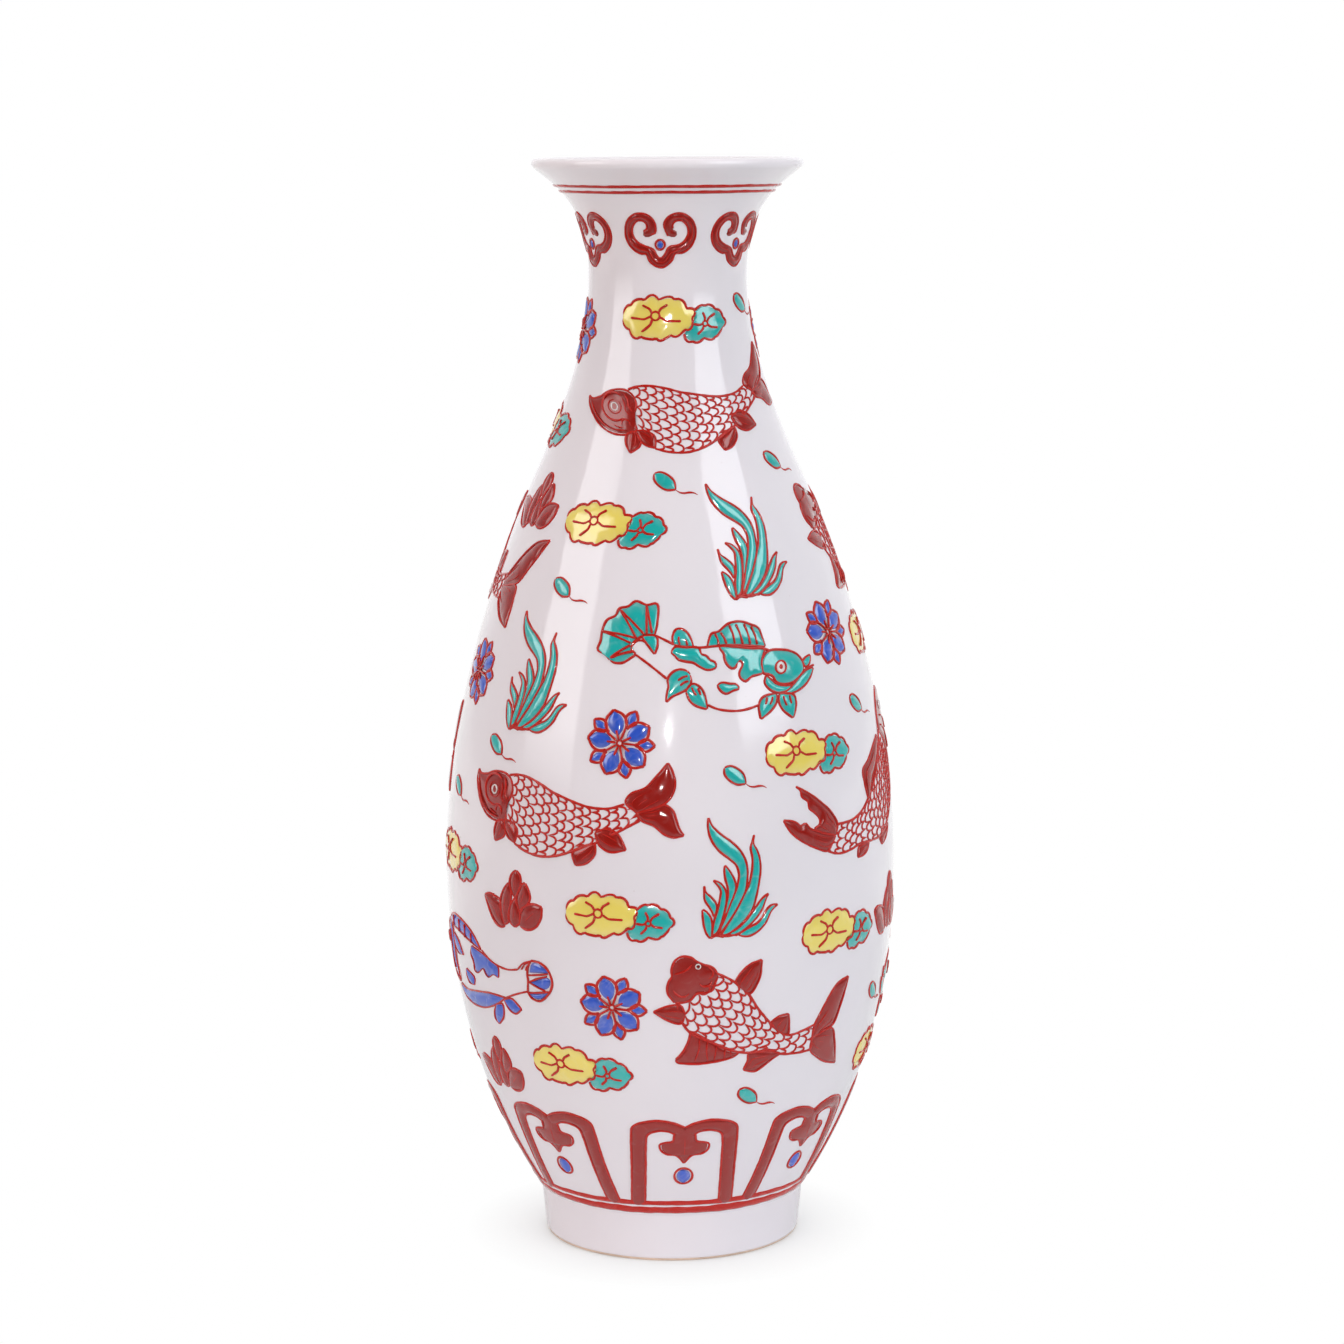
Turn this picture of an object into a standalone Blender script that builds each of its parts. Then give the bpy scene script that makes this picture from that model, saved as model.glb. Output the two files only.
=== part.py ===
"""A tall porcelain fish vase: clay sections luted together with slip, and raised enamel motifs on its glaze.

Metres, +Z up. The origin is the centre of the foot on the table, and the front of the vase faces -Y.
"""

import math

import bmesh
import bpy
import numpy as np

# Heights of the clay sections, from the table up
FOOT_HEIGHT = 0.016
LOWER_BELLY_HEIGHT = 0.114
UPPER_BELLY_HEIGHT = 0.120
NECK_LENGTH = 0.072
MOUTH_HEIGHT = 0.038

# Outer radii where the sections meet, and at the lip
FOOT_RADIUS = 0.0440
BELLY_RADIUS = 0.0750
SHOULDER_RADIUS = 0.0470
NECK_RADIUS = 0.0260
MOUTH_RADIUS = 0.0446

# Lean of the wall from the vertical at the foot, the shoulder and the lip
FOOT_LEAN = math.radians(33)
SHOULDER_LEAN = math.radians(-23)
LIP_LEAN = math.radians(48)

# Handles of each curve, as shares of its section's height: lower end, then upper end
LOWER_BELLY_HANDLES = (0.52, 0.114)
UPPER_BELLY_HANDLES = (0.29, 0.367)
NECK_HANDLES = (0.25, 0.375)
MOUTH_HANDLES = (0.70, 0.22)

# Thicknesses of the clay
WALL = 0.0045
LIP_RADIUS = 0.0018
FOOT_WIDTH = 0.0080
FOOT_TAPER = 0.0017
FOOT_EDGE_ROUND = 0.0012
LEDGE_WIDTH = 0.0030
BASE_THICKNESS = 0.0060

# Luting slip between two sections, and the gap that each face keeps to its neighbour
SLIP_THICKNESS = 0.0006
JOINT_GAP = 0.0003

# Raised enamel on the glaze
ENAMEL_GAP = 0.0003
ENAMEL_THICKNESS = 0.0005
ENAMEL_SAG = 0.00012
ENAMEL_STRIP_SHAPE = 1.5
FOOT_LINE_WIDTH = 0.0022
FOOT_LINE_SPACING = 0.0034
FOOT_LINE_RISE = 0.0030
RIM_LINE_WIDTH = 0.0014
RIM_LINE_SPACING = 0.0027
RIM_LINE_DROP = 0.0085

# Spacing of the grid that the motif outlines further down are drawn on
OUTLINE_SPACING = 0.001

# Border patterns: how many motifs go round the wall, the room that each is drawn for, and the angle of the
# first from the front
RUYI_COUNT = 6
RUYI_ROOM = 0.02807
RUYI_ANGLE = math.radians(-5)
RUYI_RISE = 0.010
LAPPET_COUNT = 8
LAPPET_ROOM = 0.03778
LAPPET_ANGLE = math.radians(4)

# Fineness of the turned pieces
SEGMENTS = 40
BELLY_SPANS = 6
NECK_SPANS = 8
MOUTH_SPANS = 6
NOSE_SPANS = 5
CURVE_SAMPLES = 200
SHARP_ANGLE = math.radians(35)
MERGE_DISTANCE = 1e-6

# Joints between the sections, and the top of the lip
FOOT_JOINT = FOOT_HEIGHT
BELLY_JOINT = FOOT_JOINT + LOWER_BELLY_HEIGHT
SHOULDER_JOINT = BELLY_JOINT + UPPER_BELLY_HEIGHT
NECK_JOINT = SHOULDER_JOINT + NECK_LENGTH
RIM = NECK_JOINT + MOUTH_HEIGHT
HALF_SEAM = SLIP_THICKNESS / 2 + JOINT_GAP

# Roughness of the finishes
GLAZE_ROUGHNESS = 0.15
ENAMEL_ROUGHNESS = 0.25
SLIP_ROUGHNESS = 0.7

# Glaze, slip and enamel colours, as linear RGB
PORCELAIN = (0.74, 0.71, 0.75)
SLIP = (0.70, 0.66, 0.62)
IRON_RED = (0.25, 0.022, 0.016)
LINE_RED = (0.42, 0.028, 0.020)
TEAL = (0.015, 0.42, 0.33)
BLUE = (0.045, 0.11, 0.56)

# Half outlines of the two border motifs, right of their middle line
RUYI_HALF = [
    (0, -7.1), (2.6, -6.3), (4.3, -4.6), (5.2, -2.8), (8.2, -1.7), (10.7, 0.6), (12.0, 4.2),
    (11.2, 7.8), (8.6, 10.6), (5.2, 11.2), (2.4, 9.6), (1.2, 6.8), (1.8, 4.3), (4.0, 2.9),
    (6.1, 3.8), (6.7, 5.7), (4.6, 7.0), (6.2, 8.4), (8.2, 7.0), (8.4, 4.6), (7.0, 2.0),
    (4.6, 0.5), (2.5, 0.1), (2.1, -1.8), (0, -4.0),
]
LAPPET_HALF = [
    (0, 31.3), (3.5, 33.0), (8.0, 34.0), (12.5, 33.6), (17.6, 30.8), (16.6, 0), (12.2, 0),
    (12.6, 26.0), (11.0, 29.0), (8.0, 30.0), (4.8, 29.6), (3.5, 27.8), (3.9, 25.8), (8.0, 24.7),
    (7.6, 22.0), (5.7, 20.4), (2.7, 20.0), (0, 16.6),
]

# Outlines of the fish, seen from outside, x to the right and y up the wall
CARP = [
    (-45.5, 10.0), (-40.0, 9.0), (-33.5, 10.5), (-28.0, 9.8), (-22.0, 10.4), (-15.0, 9.0),
    (-8.0, 6.0), (0, 3.4), (6.0, 2.3), (14.0, 3.5), (15.5, 7.0), (21.0, 9.5), (24.5, 14.0),
    (27.5, 17.4), (30.0, 13.0), (30.0, 8.0), (27.3, 4.3), (31.0, 1.5), (33.8, -5.5), (29.0, -6.0),
    (24.0, -2.5), (20.0, -0.8), (13.0, -4.5), (15.5, -10.0), (10.0, -11.2), (5.5, -9.5),
    (5.0, -13.0), (0.5, -16.0), (-2.5, -13.0), (-8.0, -13.6), (-16.0, -14.2), (-24.0, -11.5),
    (-28.5, -9.5), (-34.0, -12.0), (-34.5, -5.2), (-39.0, -4.0), (-43.5, 0), (-46.0, 6.0),
]
DIVING_CARP = [
    (-24.0, 17.0), (-21.0, 19.4), (-17.0, 18.7), (-10.5, 15.0), (-3.5, 10.3), (1.0, 16.0),
    (5.2, 17.2), (4.5, 11.0), (1.0, 6.0), (5.0, 0), (9.5, -5.0), (12.0, -3.0), (15.8, -2.5),
    (16.0, -10.0), (22.0, -9.5), (28.0, -5.5), (32.0, 0), (36.0, 4.5), (42.0, 6.2), (39.5, -2.0),
    (35.5, -10.0), (38.0, -16.0), (39.5, -24.5), (32.0, -22.0), (26.0, -17.2), (14.0, -16.5),
    (7.0, -21.0), (1.0, -20.5), (0.5, -14.6), (-7.0, -16.5), (-13.0, -17.7), (-21.5, -16.0),
    (-17.5, -8.0), (-20.0, -3.0), (-29.5, 1.3), (-22.8, 3.2), (-25.5, 7.5), (-25.5, 11.0),
]
LEAPING_CARP = [
    (-36.0, 12.8), (-28.0, 9.5), (-22.0, 4.0), (-19.0, -1.5), (-10.0, -1.0), (-2.0, 2.5),
    (-1.5, 13.0), (6.0, 17.0), (14.0, 23.0), (19.0, 30.0), (25.0, 35.0), (31.0, 36.0),
    (36.0, 32.0), (37.0, 25.0), (34.0, 15.0), (28.0, 5.0), (20.0, -4.0), (14.0, -8.0),
    (8.0, -13.0), (5.0, -10.2), (-1.0, -10.5), (-5.0, -14.0), (-9.0, -14.2), (-9.5, -10.5),
    (-18.0, -11.0), (-25.0, -9.5), (-34.0, -6.0), (-39.0, -2.0), (-42.0, 2.3), (-36.0, 1.0),
    (-29.0, -0.5), (-32.0, 6.0),
]
MANDARIN_FISH = [
    (38.5, -1.0), (35.0, -1.0), (31.0, 1.0), (24.0, 2.0), (21.5, 3.0), (19.0, 8.5), (16.0, 11.0),
    (9.0, 11.5), (3.0, 8.6), (1.0, 4.2), (-3.5, 4.4), (-5.0, 9.0), (-8.0, 10.3), (-9.5, 5.5),
    (-14.5, 7.5), (-14.0, 18.5), (-21.0, 18.8), (-26.5, 16.5), (-31.0, 12.5), (-33.0, 8.5),
    (-34.3, 3.0), (-30.5, -0.8), (-25.0, -0.8), (-22.0, 1.7), (-12.5, -5.5), (-13.0, -13.0),
    (-6.5, -10.2), (-3.0, -14.8), (8.0, -16.3), (17.0, -15.0), (18.0, -19.5), (23.5, -13.5),
    (29.5, -20.0), (31.0, -13.5), (36.0, -9.5), (39.8, -4.5),
]
CATFISH = [
    (31.5, -1.0), (30.5, 3.0), (26.0, 5.4), (21.0, 4.6), (17.5, 1.4), (9.0, 0.6), (0, 4.0),
    (-4.0, 8.5), (-12.0, 12.0), (-21.0, 12.8), (-28.0, 10.5), (-34.0, 7.0), (-39.0, 1.0),
    (-37.0, -5.0), (-31.0, -9.5), (-24.0, -13.5), (-12.0, -16.5), (0, -14.8), (2.5, -19.5),
    (7.5, -17.0), (8.5, -13.0), (13.0, -14.6), (17.3, -12.0), (13.0, -9.0), (20.0, -5.6),
    (25.0, -8.2), (30.0, -5.0),
]

# Each fish: its name, outline and colour, its angle from the front and its turn in degrees, whether it is
# mirrored, and how far up it sits between the foot joint and the neck joint
FISH = [
    ("red_carp_neck_front", CARP, IRON_RED, 25.5, 8.4, False, 0.867),
    ("red_carp_neck_back", CARP, IRON_RED, 188, 8.4, False, 0.862),
    ("red_carp_shoulder_right", DIVING_CARP, IRON_RED, 92, 0, False, 0.720),
    ("red_carp_shoulder_left", DIVING_CARP, IRON_RED, -94.2, -4.5, False, 0.718),
    ("teal_mandarin_fish_front", MANDARIN_FISH, TEAL, 10.2, 0, False, 0.612),
    ("teal_mandarin_fish_back", MANDARIN_FISH, TEAL, 178, 0, True, 0.600),
    ("red_carp_waist_left", DIVING_CARP, IRON_RED, -117, 10, False, 0.500),
    ("red_carp_belly_front", CARP, IRON_RED, -22.8, 0, False, 0.453),
    ("red_carp_belly_right", LEAPING_CARP, IRON_RED, 61, 0, False, 0.438),
    ("red_carp_belly_back", CARP, IRON_RED, 172, 0, True, 0.420),
    ("red_carp_base_front", DIVING_CARP, IRON_RED, 18.9, 0, False, 0.244),
    ("blue_catfish_base_left", CATFISH, BLUE, -56, 0, False, 0.275),
    ("teal_mandarin_fish_base_right", MANDARIN_FISH, TEAL, 107, 0, True, 0.255),
    ("red_carp_base_back", DIVING_CARP, IRON_RED, -148, 0, True, 0.250),
]


def curve(start, lean_low, end, lean_high, handles):
    """Points of a cubic Bezier up one section, leaving and meeting its ends at the given leans."""
    span = end[1] - start[1]
    low = np.array(start) + handles[0] * span * np.array((math.sin(lean_low), math.cos(lean_low)))
    high = np.array(end) - handles[1] * span * np.array((math.sin(lean_high), math.cos(lean_high)))
    t = np.linspace(0, 1, CURVE_SAMPLES)[:, None]
    ends = (1 - t) ** 3 * np.array(start) + t**3 * np.array(end)
    return ends + 3 * (1 - t) ** 2 * t * low + 3 * (1 - t) * t**2 * high


def lip_point():
    """Where the flare of the mouth meets the round nose of the lip."""
    radius = MOUTH_RADIUS - LIP_RADIUS + LIP_RADIUS * math.cos(LIP_LEAN)
    return radius, RIM - LIP_RADIUS - LIP_RADIUS * math.sin(LIP_LEAN)


def outer_profile():
    """Radii, heights, arc lengths and slopes along the outside, from the foot joint up to the lip."""
    foot = (FOOT_RADIUS, FOOT_JOINT)
    belly = (BELLY_RADIUS, BELLY_JOINT)
    shoulder = (SHOULDER_RADIUS, SHOULDER_JOINT)
    neck = (NECK_RADIUS, NECK_JOINT)
    points = np.concatenate([
        curve(foot, FOOT_LEAN, belly, 0, LOWER_BELLY_HANDLES),
        curve(belly, 0, shoulder, SHOULDER_LEAN, UPPER_BELLY_HANDLES)[1:],
        curve(shoulder, SHOULDER_LEAN, neck, 0, NECK_HANDLES)[1:],
        curve(neck, 0, lip_point(), LIP_LEAN, MOUTH_HANDLES)[1:],
    ])
    steps = np.hypot(*np.diff(points, axis=0).T)
    arcs = np.concatenate([[0], np.cumsum(steps)])
    slopes = np.gradient(points[:, 0]) / np.gradient(points[:, 1])
    return points[:, 0], points[:, 1], arcs, slopes


RADII, HEIGHTS, ARCS, SLOPES = outer_profile()


def arc_at(height):
    """Length up the wall from the foot joint to a height."""
    return float(np.interp(height, HEIGHTS, ARCS))


def wall_point(arc, lift):
    """Radius and height of a point that stands off the wall by lift, at an arc length up the wall."""
    radius, height, slope = (np.interp(arc, ARCS, values) for values in (RADII, HEIGHTS, SLOPES))
    slant = math.hypot(1, slope)
    return radius + lift / slant, height - lift * slope / slant


def wall_ring(low, high, spans):
    """Profile of a stretch of wall between two heights, with level ends and an even thickness."""
    heights = np.linspace(high, low, spans + 1)
    outside = np.interp(heights, HEIGHTS, RADII)
    inside = outside - WALL * np.hypot(1, np.interp(heights, HEIGHTS, SLOPES))
    return list(zip(outside, heights)) + list(zip(inside[::-1], heights[::-1]))


def mouth_ring():
    """Profile of the flared mouth: outside down, inside up, then round the nose of the lip."""
    low = NECK_JOINT + HALF_SEAM
    heights = np.linspace(lip_point()[1], low, MOUTH_SPANS + 1)
    outside = np.interp(heights, HEIGHTS, RADII)
    slopes = np.interp(heights, HEIGHTS, SLOPES)
    thickness = np.linspace(2 * LIP_RADIUS, WALL, MOUTH_SPANS + 1)
    inside = outside - thickness / np.hypot(1, slopes)
    inside_heights = heights + thickness * slopes / np.hypot(1, slopes)
    inside_heights[-1] = low
    turns = np.linspace(math.pi - LIP_LEAN, -LIP_LEAN, NOSE_SPANS + 1)[1:-1]
    nose = zip(
        MOUTH_RADIUS - LIP_RADIUS + LIP_RADIUS * np.cos(turns),
        RIM - LIP_RADIUS + LIP_RADIUS * np.sin(turns),
    )
    return list(zip(outside, heights)) + list(zip(inside[::-1], inside_heights[::-1])) + list(nose)


def foot_ring():
    """Profile of the foot: a leaning outside, a narrow flat to stand on and a ledge for the base."""
    base = FOOT_RADIUS - FOOT_TAPER - FOOT_EDGE_ROUND
    inner = FOOT_RADIUS - FOOT_WIDTH
    seat = inner + LEDGE_WIDTH
    top = FOOT_JOINT - HALF_SEAM
    turns = (0, math.pi / 4, math.pi / 2)
    edge = [(math.cos(turn) * FOOT_EDGE_ROUND, (1 - math.sin(turn)) * FOOT_EDGE_ROUND) for turn in turns]
    return [
        (FOOT_RADIUS, top),
        *((base + out, up) for out, up in edge),
        *((inner + FOOT_EDGE_ROUND - out, up) for out, up in reversed(edge)),
        (inner, ledge_height()),
        (seat, ledge_height()),
        (seat, top),
    ]


def ledge_height():
    """Height of the ledge inside the foot, which carries the base on its slip."""
    return FOOT_JOINT - HALF_SEAM - BASE_THICKNESS - 2 * HALF_SEAM


def base_disc():
    """Profile of the round base, from the axis out and back, flush with the top of the foot."""
    radius = FOOT_RADIUS - FOOT_WIDTH + LEDGE_WIDTH - JOINT_GAP
    top = FOOT_JOINT - HALF_SEAM
    return [(0, top), (radius, top), (radius, top - BASE_THICKNESS), (0, top - BASE_THICKNESS)]


def base_slip():
    """Profile of the slip between the ledge and the base."""
    inner = FOOT_RADIUS - FOOT_WIDTH
    outer = inner + LEDGE_WIDTH - JOINT_GAP
    low = ledge_height() + JOINT_GAP
    high = low + SLIP_THICKNESS
    return [(outer, high), (outer, low), (inner, low), (inner, high)]


def enamel_ring(middle, width):
    """Profile of an enamel line round the wall, at the arc length of its middle."""
    low = middle - width / 2
    high = middle + width / 2
    top = ENAMEL_GAP + ENAMEL_THICKNESS
    outside = [wall_point(high, top), wall_point(low, top)]
    return outside + [wall_point(low, ENAMEL_GAP), wall_point(high, ENAMEL_GAP)]


def finish(name, colour, roughness):
    """A Principled material of one colour."""
    material = bpy.data.materials.new(name)
    material.use_nodes = True
    shader = material.node_tree.nodes["Principled BSDF"]
    shader.inputs["Base Color"].default_value = (*colour, 1)
    shader.inputs["Roughness"].default_value = roughness
    shader.inputs["Metallic"].default_value = 0
    material.diffuse_color = (*colour, 1)
    return material


def placed(name, shape, colour, roughness):
    """Puts a finished bmesh into the scene as one named object, smooth but for its sharp edges."""
    bmesh.ops.recalc_face_normals(shape, faces=shape.faces[:])
    mesh = bpy.data.meshes.new(name)
    shape.to_mesh(mesh)
    shape.free()
    mesh.shade_smooth()
    mesh.set_sharp_from_angle(angle=SHARP_ANGLE)
    mesh.materials.append(finish(name, colour, roughness))
    piece = bpy.data.objects.new(name, mesh)
    bpy.context.scene.collection.objects.link(piece)


def turned(name, profile, colour, roughness, closed=True):
    """Spins a profile of (radius, height) points once round the axis."""
    shape = bmesh.new()
    corners = [shape.verts.new((radius, 0, height)) for radius, height in profile]
    followers = corners[1:] + corners[:1] if closed else corners[1:]
    for corner, follower in zip(corners, followers):
        shape.edges.new((corner, follower))
    bmesh.ops.spin(
        shape,
        geom=shape.verts[:] + shape.edges[:],
        cent=(0, 0, 0),
        axis=(0, 0, 1),
        angle=2 * math.pi,
        steps=SEGMENTS,
        use_merge=True,
    )
    bmesh.ops.remove_doubles(shape, verts=shape.verts[:], dist=MERGE_DISTANCE)
    placed(name, shape, colour, roughness)


def mirrored_outline(half):
    """A whole outline from its right half, which starts and ends on the middle line."""
    return half + [(-x, y) for x, y in half[-2:0:-1]]


def enamel_plate(name, outline, colour, angle, arc, turn=0.0, stretch=1.0):
    """A raised motif: its flat outline cut into strips, thickened and wrapped onto the wall."""
    c, s = math.cos(turn), math.sin(turn)
    flat = [(stretch * x * OUTLINE_SPACING, y * OUTLINE_SPACING) for x, y in outline]
    flat = [(x * c - y * s, x * s + y * c) for x, y in flat]
    shape = bmesh.new()
    shape.faces.new([shape.verts.new((x, y, 0)) for x, y in flat])
    width = math.sqrt(8 * wall_point(arc, 0)[0] * ENAMEL_SAG)
    for axis, strip in ((0, width), (1, width * ENAMEL_STRIP_SHAPE)):
        reach = max(abs(point[axis]) for point in flat)
        for k in range(-int(reach / strip), int(reach / strip) + 1):
            cut = [0, 0, 0]
            normal = [0, 0, 0]
            cut[axis] = k * strip
            normal[axis] = 1
            geometry = shape.verts[:] + shape.edges[:] + shape.faces[:]
            bmesh.ops.bisect_plane(shape, geom=geometry, dist=MERGE_DISTANCE, plane_co=cut, plane_no=normal)
    bmesh.ops.triangulate(shape, faces=shape.faces[:])
    raised = bmesh.ops.extrude_face_region(shape, geom=shape.faces[:], use_keep_orig=True)["geom"]
    for corner in raised:
        if isinstance(corner, bmesh.types.BMVert):
            corner.co.z = ENAMEL_THICKNESS
    for corner in shape.verts:
        radius, height = wall_point(arc + corner.co.y, ENAMEL_GAP + corner.co.z)
        around = angle + corner.co.x / wall_point(arc + corner.co.y, 0)[0]
        corner.co = (radius * math.sin(around), -radius * math.cos(around), height)
    placed(name, shape, colour, ENAMEL_ROUGHNESS)


def clay_sections():
    """The foot, the base and the four stretches of wall."""
    turned("foot_ring", foot_ring(), PORCELAIN, GLAZE_ROUGHNESS)
    turned("base_disc", base_disc(), PORCELAIN, GLAZE_ROUGHNESS, closed=False)
    for name, low, high, spans in (
        ("lower_belly", FOOT_JOINT, BELLY_JOINT, BELLY_SPANS),
        ("upper_belly", BELLY_JOINT, SHOULDER_JOINT, BELLY_SPANS),
        ("neck", SHOULDER_JOINT, NECK_JOINT, NECK_SPANS),
    ):
        turned(name, wall_ring(low + HALF_SEAM, high - HALF_SEAM, spans), PORCELAIN, GLAZE_ROUGHNESS)
    turned("flared_mouth", mouth_ring(), PORCELAIN, GLAZE_ROUGHNESS)


def luting_slip():
    """A thin ring of slip in each joint."""
    turned("base_slip", base_slip(), SLIP, SLIP_ROUGHNESS)
    for name, joint in (
        ("foot_slip", FOOT_JOINT),
        ("belly_slip", BELLY_JOINT),
        ("shoulder_slip", SHOULDER_JOINT),
        ("neck_slip", NECK_JOINT),
    ):
        low = joint - SLIP_THICKNESS / 2
        turned(name, wall_ring(low, low + SLIP_THICKNESS, 1), SLIP, SLIP_ROUGHNESS)


def enamel_lines():
    """Two red lines round the foot of the belly and two under the rim."""
    rim_arc = arc_at(RIM - RIM_LINE_DROP)
    for name, arc, width in (
        ("foot_line_lower", FOOT_LINE_RISE, FOOT_LINE_WIDTH),
        ("foot_line_upper", FOOT_LINE_RISE + FOOT_LINE_SPACING, FOOT_LINE_WIDTH),
        ("rim_line_upper", rim_arc, RIM_LINE_WIDTH),
        ("rim_line_lower", rim_arc - RIM_LINE_SPACING, RIM_LINE_WIDTH),
    ):
        turned(name, enamel_ring(arc, width), LINE_RED, ENAMEL_ROUGHNESS)


def enamel_borders():
    """The ruyi heads round the neck and the lappets above the foot lines, stretched to fill their rings."""
    ruyi_arc = arc_at(NECK_JOINT + RUYI_RISE)
    lappet_arc = FOOT_LINE_RISE + FOOT_LINE_SPACING + FOOT_LINE_WIDTH / 2 + ENAMEL_GAP
    for name, half, arc, count, room, first in (
        ("ruyi_head", RUYI_HALF, ruyi_arc, RUYI_COUNT, RUYI_ROOM, RUYI_ANGLE),
        ("lappet", LAPPET_HALF, lappet_arc, LAPPET_COUNT, LAPPET_ROOM, LAPPET_ANGLE),
    ):
        outline = mirrored_outline(half)
        stretch = 2 * math.pi * wall_point(arc, 0)[0] / count / room
        for k in range(count):
            angle = first + 2 * math.pi * k / count
            enamel_plate(f"{name}_{k + 1}", outline, IRON_RED, angle, arc, stretch=stretch)


def enamel_fish():
    """The fish, spread over the wall between the foot joint and the neck joint."""
    for name, outline, colour, angle, turn, mirrored, share in FISH:
        arc = arc_at(FOOT_JOINT + share * (NECK_JOINT - FOOT_JOINT))
        stretch = -1 if mirrored else 1
        enamel_plate(name, outline, colour, math.radians(angle), arc, math.radians(turn), stretch)


for leftover in list(bpy.data.objects):
    bpy.data.objects.remove(leftover)

clay_sections()
luting_slip()
enamel_lines()
enamel_borders()
enamel_fish()
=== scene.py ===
"""Porcelain fish vase: its glaze, its bare foot rim and its raised enamels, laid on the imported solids.

Laid out as a Blender add-on and run as a script. Lengths are metres and +Z is up; the front of the pattern
faces -Y. Motifs are drawn flat in millimetres, x to the right and y up, and are then wrapped onto the wall.
"""

import math

import bpy
import numpy as np
from bpy.props import FloatProperty, FloatVectorProperty, IntProperty, PointerProperty
from mathutils import Matrix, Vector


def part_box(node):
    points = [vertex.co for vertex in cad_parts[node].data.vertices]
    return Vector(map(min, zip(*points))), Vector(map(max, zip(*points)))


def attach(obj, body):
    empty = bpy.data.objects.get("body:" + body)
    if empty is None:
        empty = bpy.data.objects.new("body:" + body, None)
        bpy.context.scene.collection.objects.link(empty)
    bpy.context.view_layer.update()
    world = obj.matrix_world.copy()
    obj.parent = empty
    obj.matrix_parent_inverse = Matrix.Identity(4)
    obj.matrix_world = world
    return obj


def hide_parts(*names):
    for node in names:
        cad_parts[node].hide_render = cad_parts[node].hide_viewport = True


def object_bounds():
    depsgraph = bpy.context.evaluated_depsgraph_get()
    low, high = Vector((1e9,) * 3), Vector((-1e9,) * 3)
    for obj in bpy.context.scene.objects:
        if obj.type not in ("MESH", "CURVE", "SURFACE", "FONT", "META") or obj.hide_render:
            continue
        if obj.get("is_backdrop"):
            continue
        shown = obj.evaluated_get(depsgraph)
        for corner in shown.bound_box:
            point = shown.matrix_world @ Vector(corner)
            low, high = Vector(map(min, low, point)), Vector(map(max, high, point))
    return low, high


bl_info = {
    "name": "Porcelain fish vase",
    "version": (1, 0, 0),
    "blender": (4, 5, 0),
    "location": "3D View > Sidebar > Vase",
    "description": "Glaze, enamels and studio of a porcelain vase with fish and waterweed",
    "category": "Add Mesh",
}

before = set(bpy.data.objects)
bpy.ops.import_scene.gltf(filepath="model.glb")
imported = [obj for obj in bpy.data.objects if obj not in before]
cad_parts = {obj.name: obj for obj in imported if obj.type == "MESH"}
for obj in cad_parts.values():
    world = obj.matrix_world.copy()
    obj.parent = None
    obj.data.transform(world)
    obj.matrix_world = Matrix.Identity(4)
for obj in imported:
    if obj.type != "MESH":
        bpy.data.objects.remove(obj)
CAD_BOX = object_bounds()
MM = 0.001


def joint_ring(node):
    """Outer radius and middle height of the slip ring in a joint."""
    low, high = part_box(node)
    return high.x, (low.z + high.z) / 2


FOOT = joint_ring("foot_slip")
BELLY = joint_ring("belly_slip")
SHOULDER = joint_ring("shoulder_slip")
NECK = joint_ring("neck_slip")
MOUTH_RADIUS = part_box("flared_mouth")[1].x
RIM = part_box("flared_mouth")[1].z
FOOT_LEAN = math.radians(33)
SHOULDER_LEAN = math.radians(-23)
LIP_LEAN = math.radians(48)
LOWER_BELLY_HANDLES = (0.52, 0.114)
UPPER_BELLY_HANDLES = (0.29, 0.367)
NECK_HANDLES = (0.25, 0.375)
MOUTH_HANDLES = (0.70, 0.22)
WALL = 0.0045
LIP_RADIUS = 0.0018
FOOT_WIDTH = 0.0080
FOOT_TAPER = 0.0017
FOOT_EDGE_ROUND = 0.0008
LEDGE_WIDTH = 0.0030
BARE_RIM = 0.0009
GLAZE_EDGE = 0.0002
SEAM_ROW = 0.00015
WALL_ROW = 0.0015
INSIDE_ROW = 0.004
MOUTH_ROWS = 40
LIP_POINTS = 16
BARE_RIM_POINTS = 8
SHARP_EDGE = math.radians(40)
SEGMENTS = 256
PROFILE_SAMPLES = 500


def section(start, lean_low, end, lean_high, handles):
    """Cubic Bezier up one section: its handles stand along the lean of the wall at each end."""
    span = end[1] - start[1]
    low = np.array(start) + handles[0] * span * np.array((math.sin(lean_low), math.cos(lean_low)))
    high = np.array(end) - handles[1] * span * np.array((math.sin(lean_high), math.cos(lean_high)))
    t = np.linspace(0, 1, PROFILE_SAMPLES)[:, None]
    ends = (1 - t) ** 3 * np.array(start) + t**3 * np.array(end)
    return ends + 3 * (1 - t) ** 2 * t * low + 3 * (1 - t) * t**2 * high


LIP_POINT = (
    MOUTH_RADIUS - LIP_RADIUS + LIP_RADIUS * math.cos(LIP_LEAN),
    RIM - LIP_RADIUS - LIP_RADIUS * math.sin(LIP_LEAN),
)
WALL_LINE = np.concatenate([
    section(FOOT, FOOT_LEAN, BELLY, 0, LOWER_BELLY_HANDLES),
    section(BELLY, 0, SHOULDER, SHOULDER_LEAN, UPPER_BELLY_HANDLES)[1:],
    section(SHOULDER, SHOULDER_LEAN, NECK, 0, NECK_HANDLES)[1:],
    section(NECK, 0, LIP_POINT, LIP_LEAN, MOUTH_HANDLES)[1:],
])
RADII, HEIGHTS = WALL_LINE.T
ARCS = np.concatenate([[0], np.cumsum(np.hypot(*np.diff(WALL_LINE, axis=0).T))])
SLOPES = np.gradient(RADII) / np.gradient(HEIGHTS)


def arc_at(height):
    """Length up the wall from the foot joint to a height."""
    return float(np.interp(height, HEIGHTS, ARCS))


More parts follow.
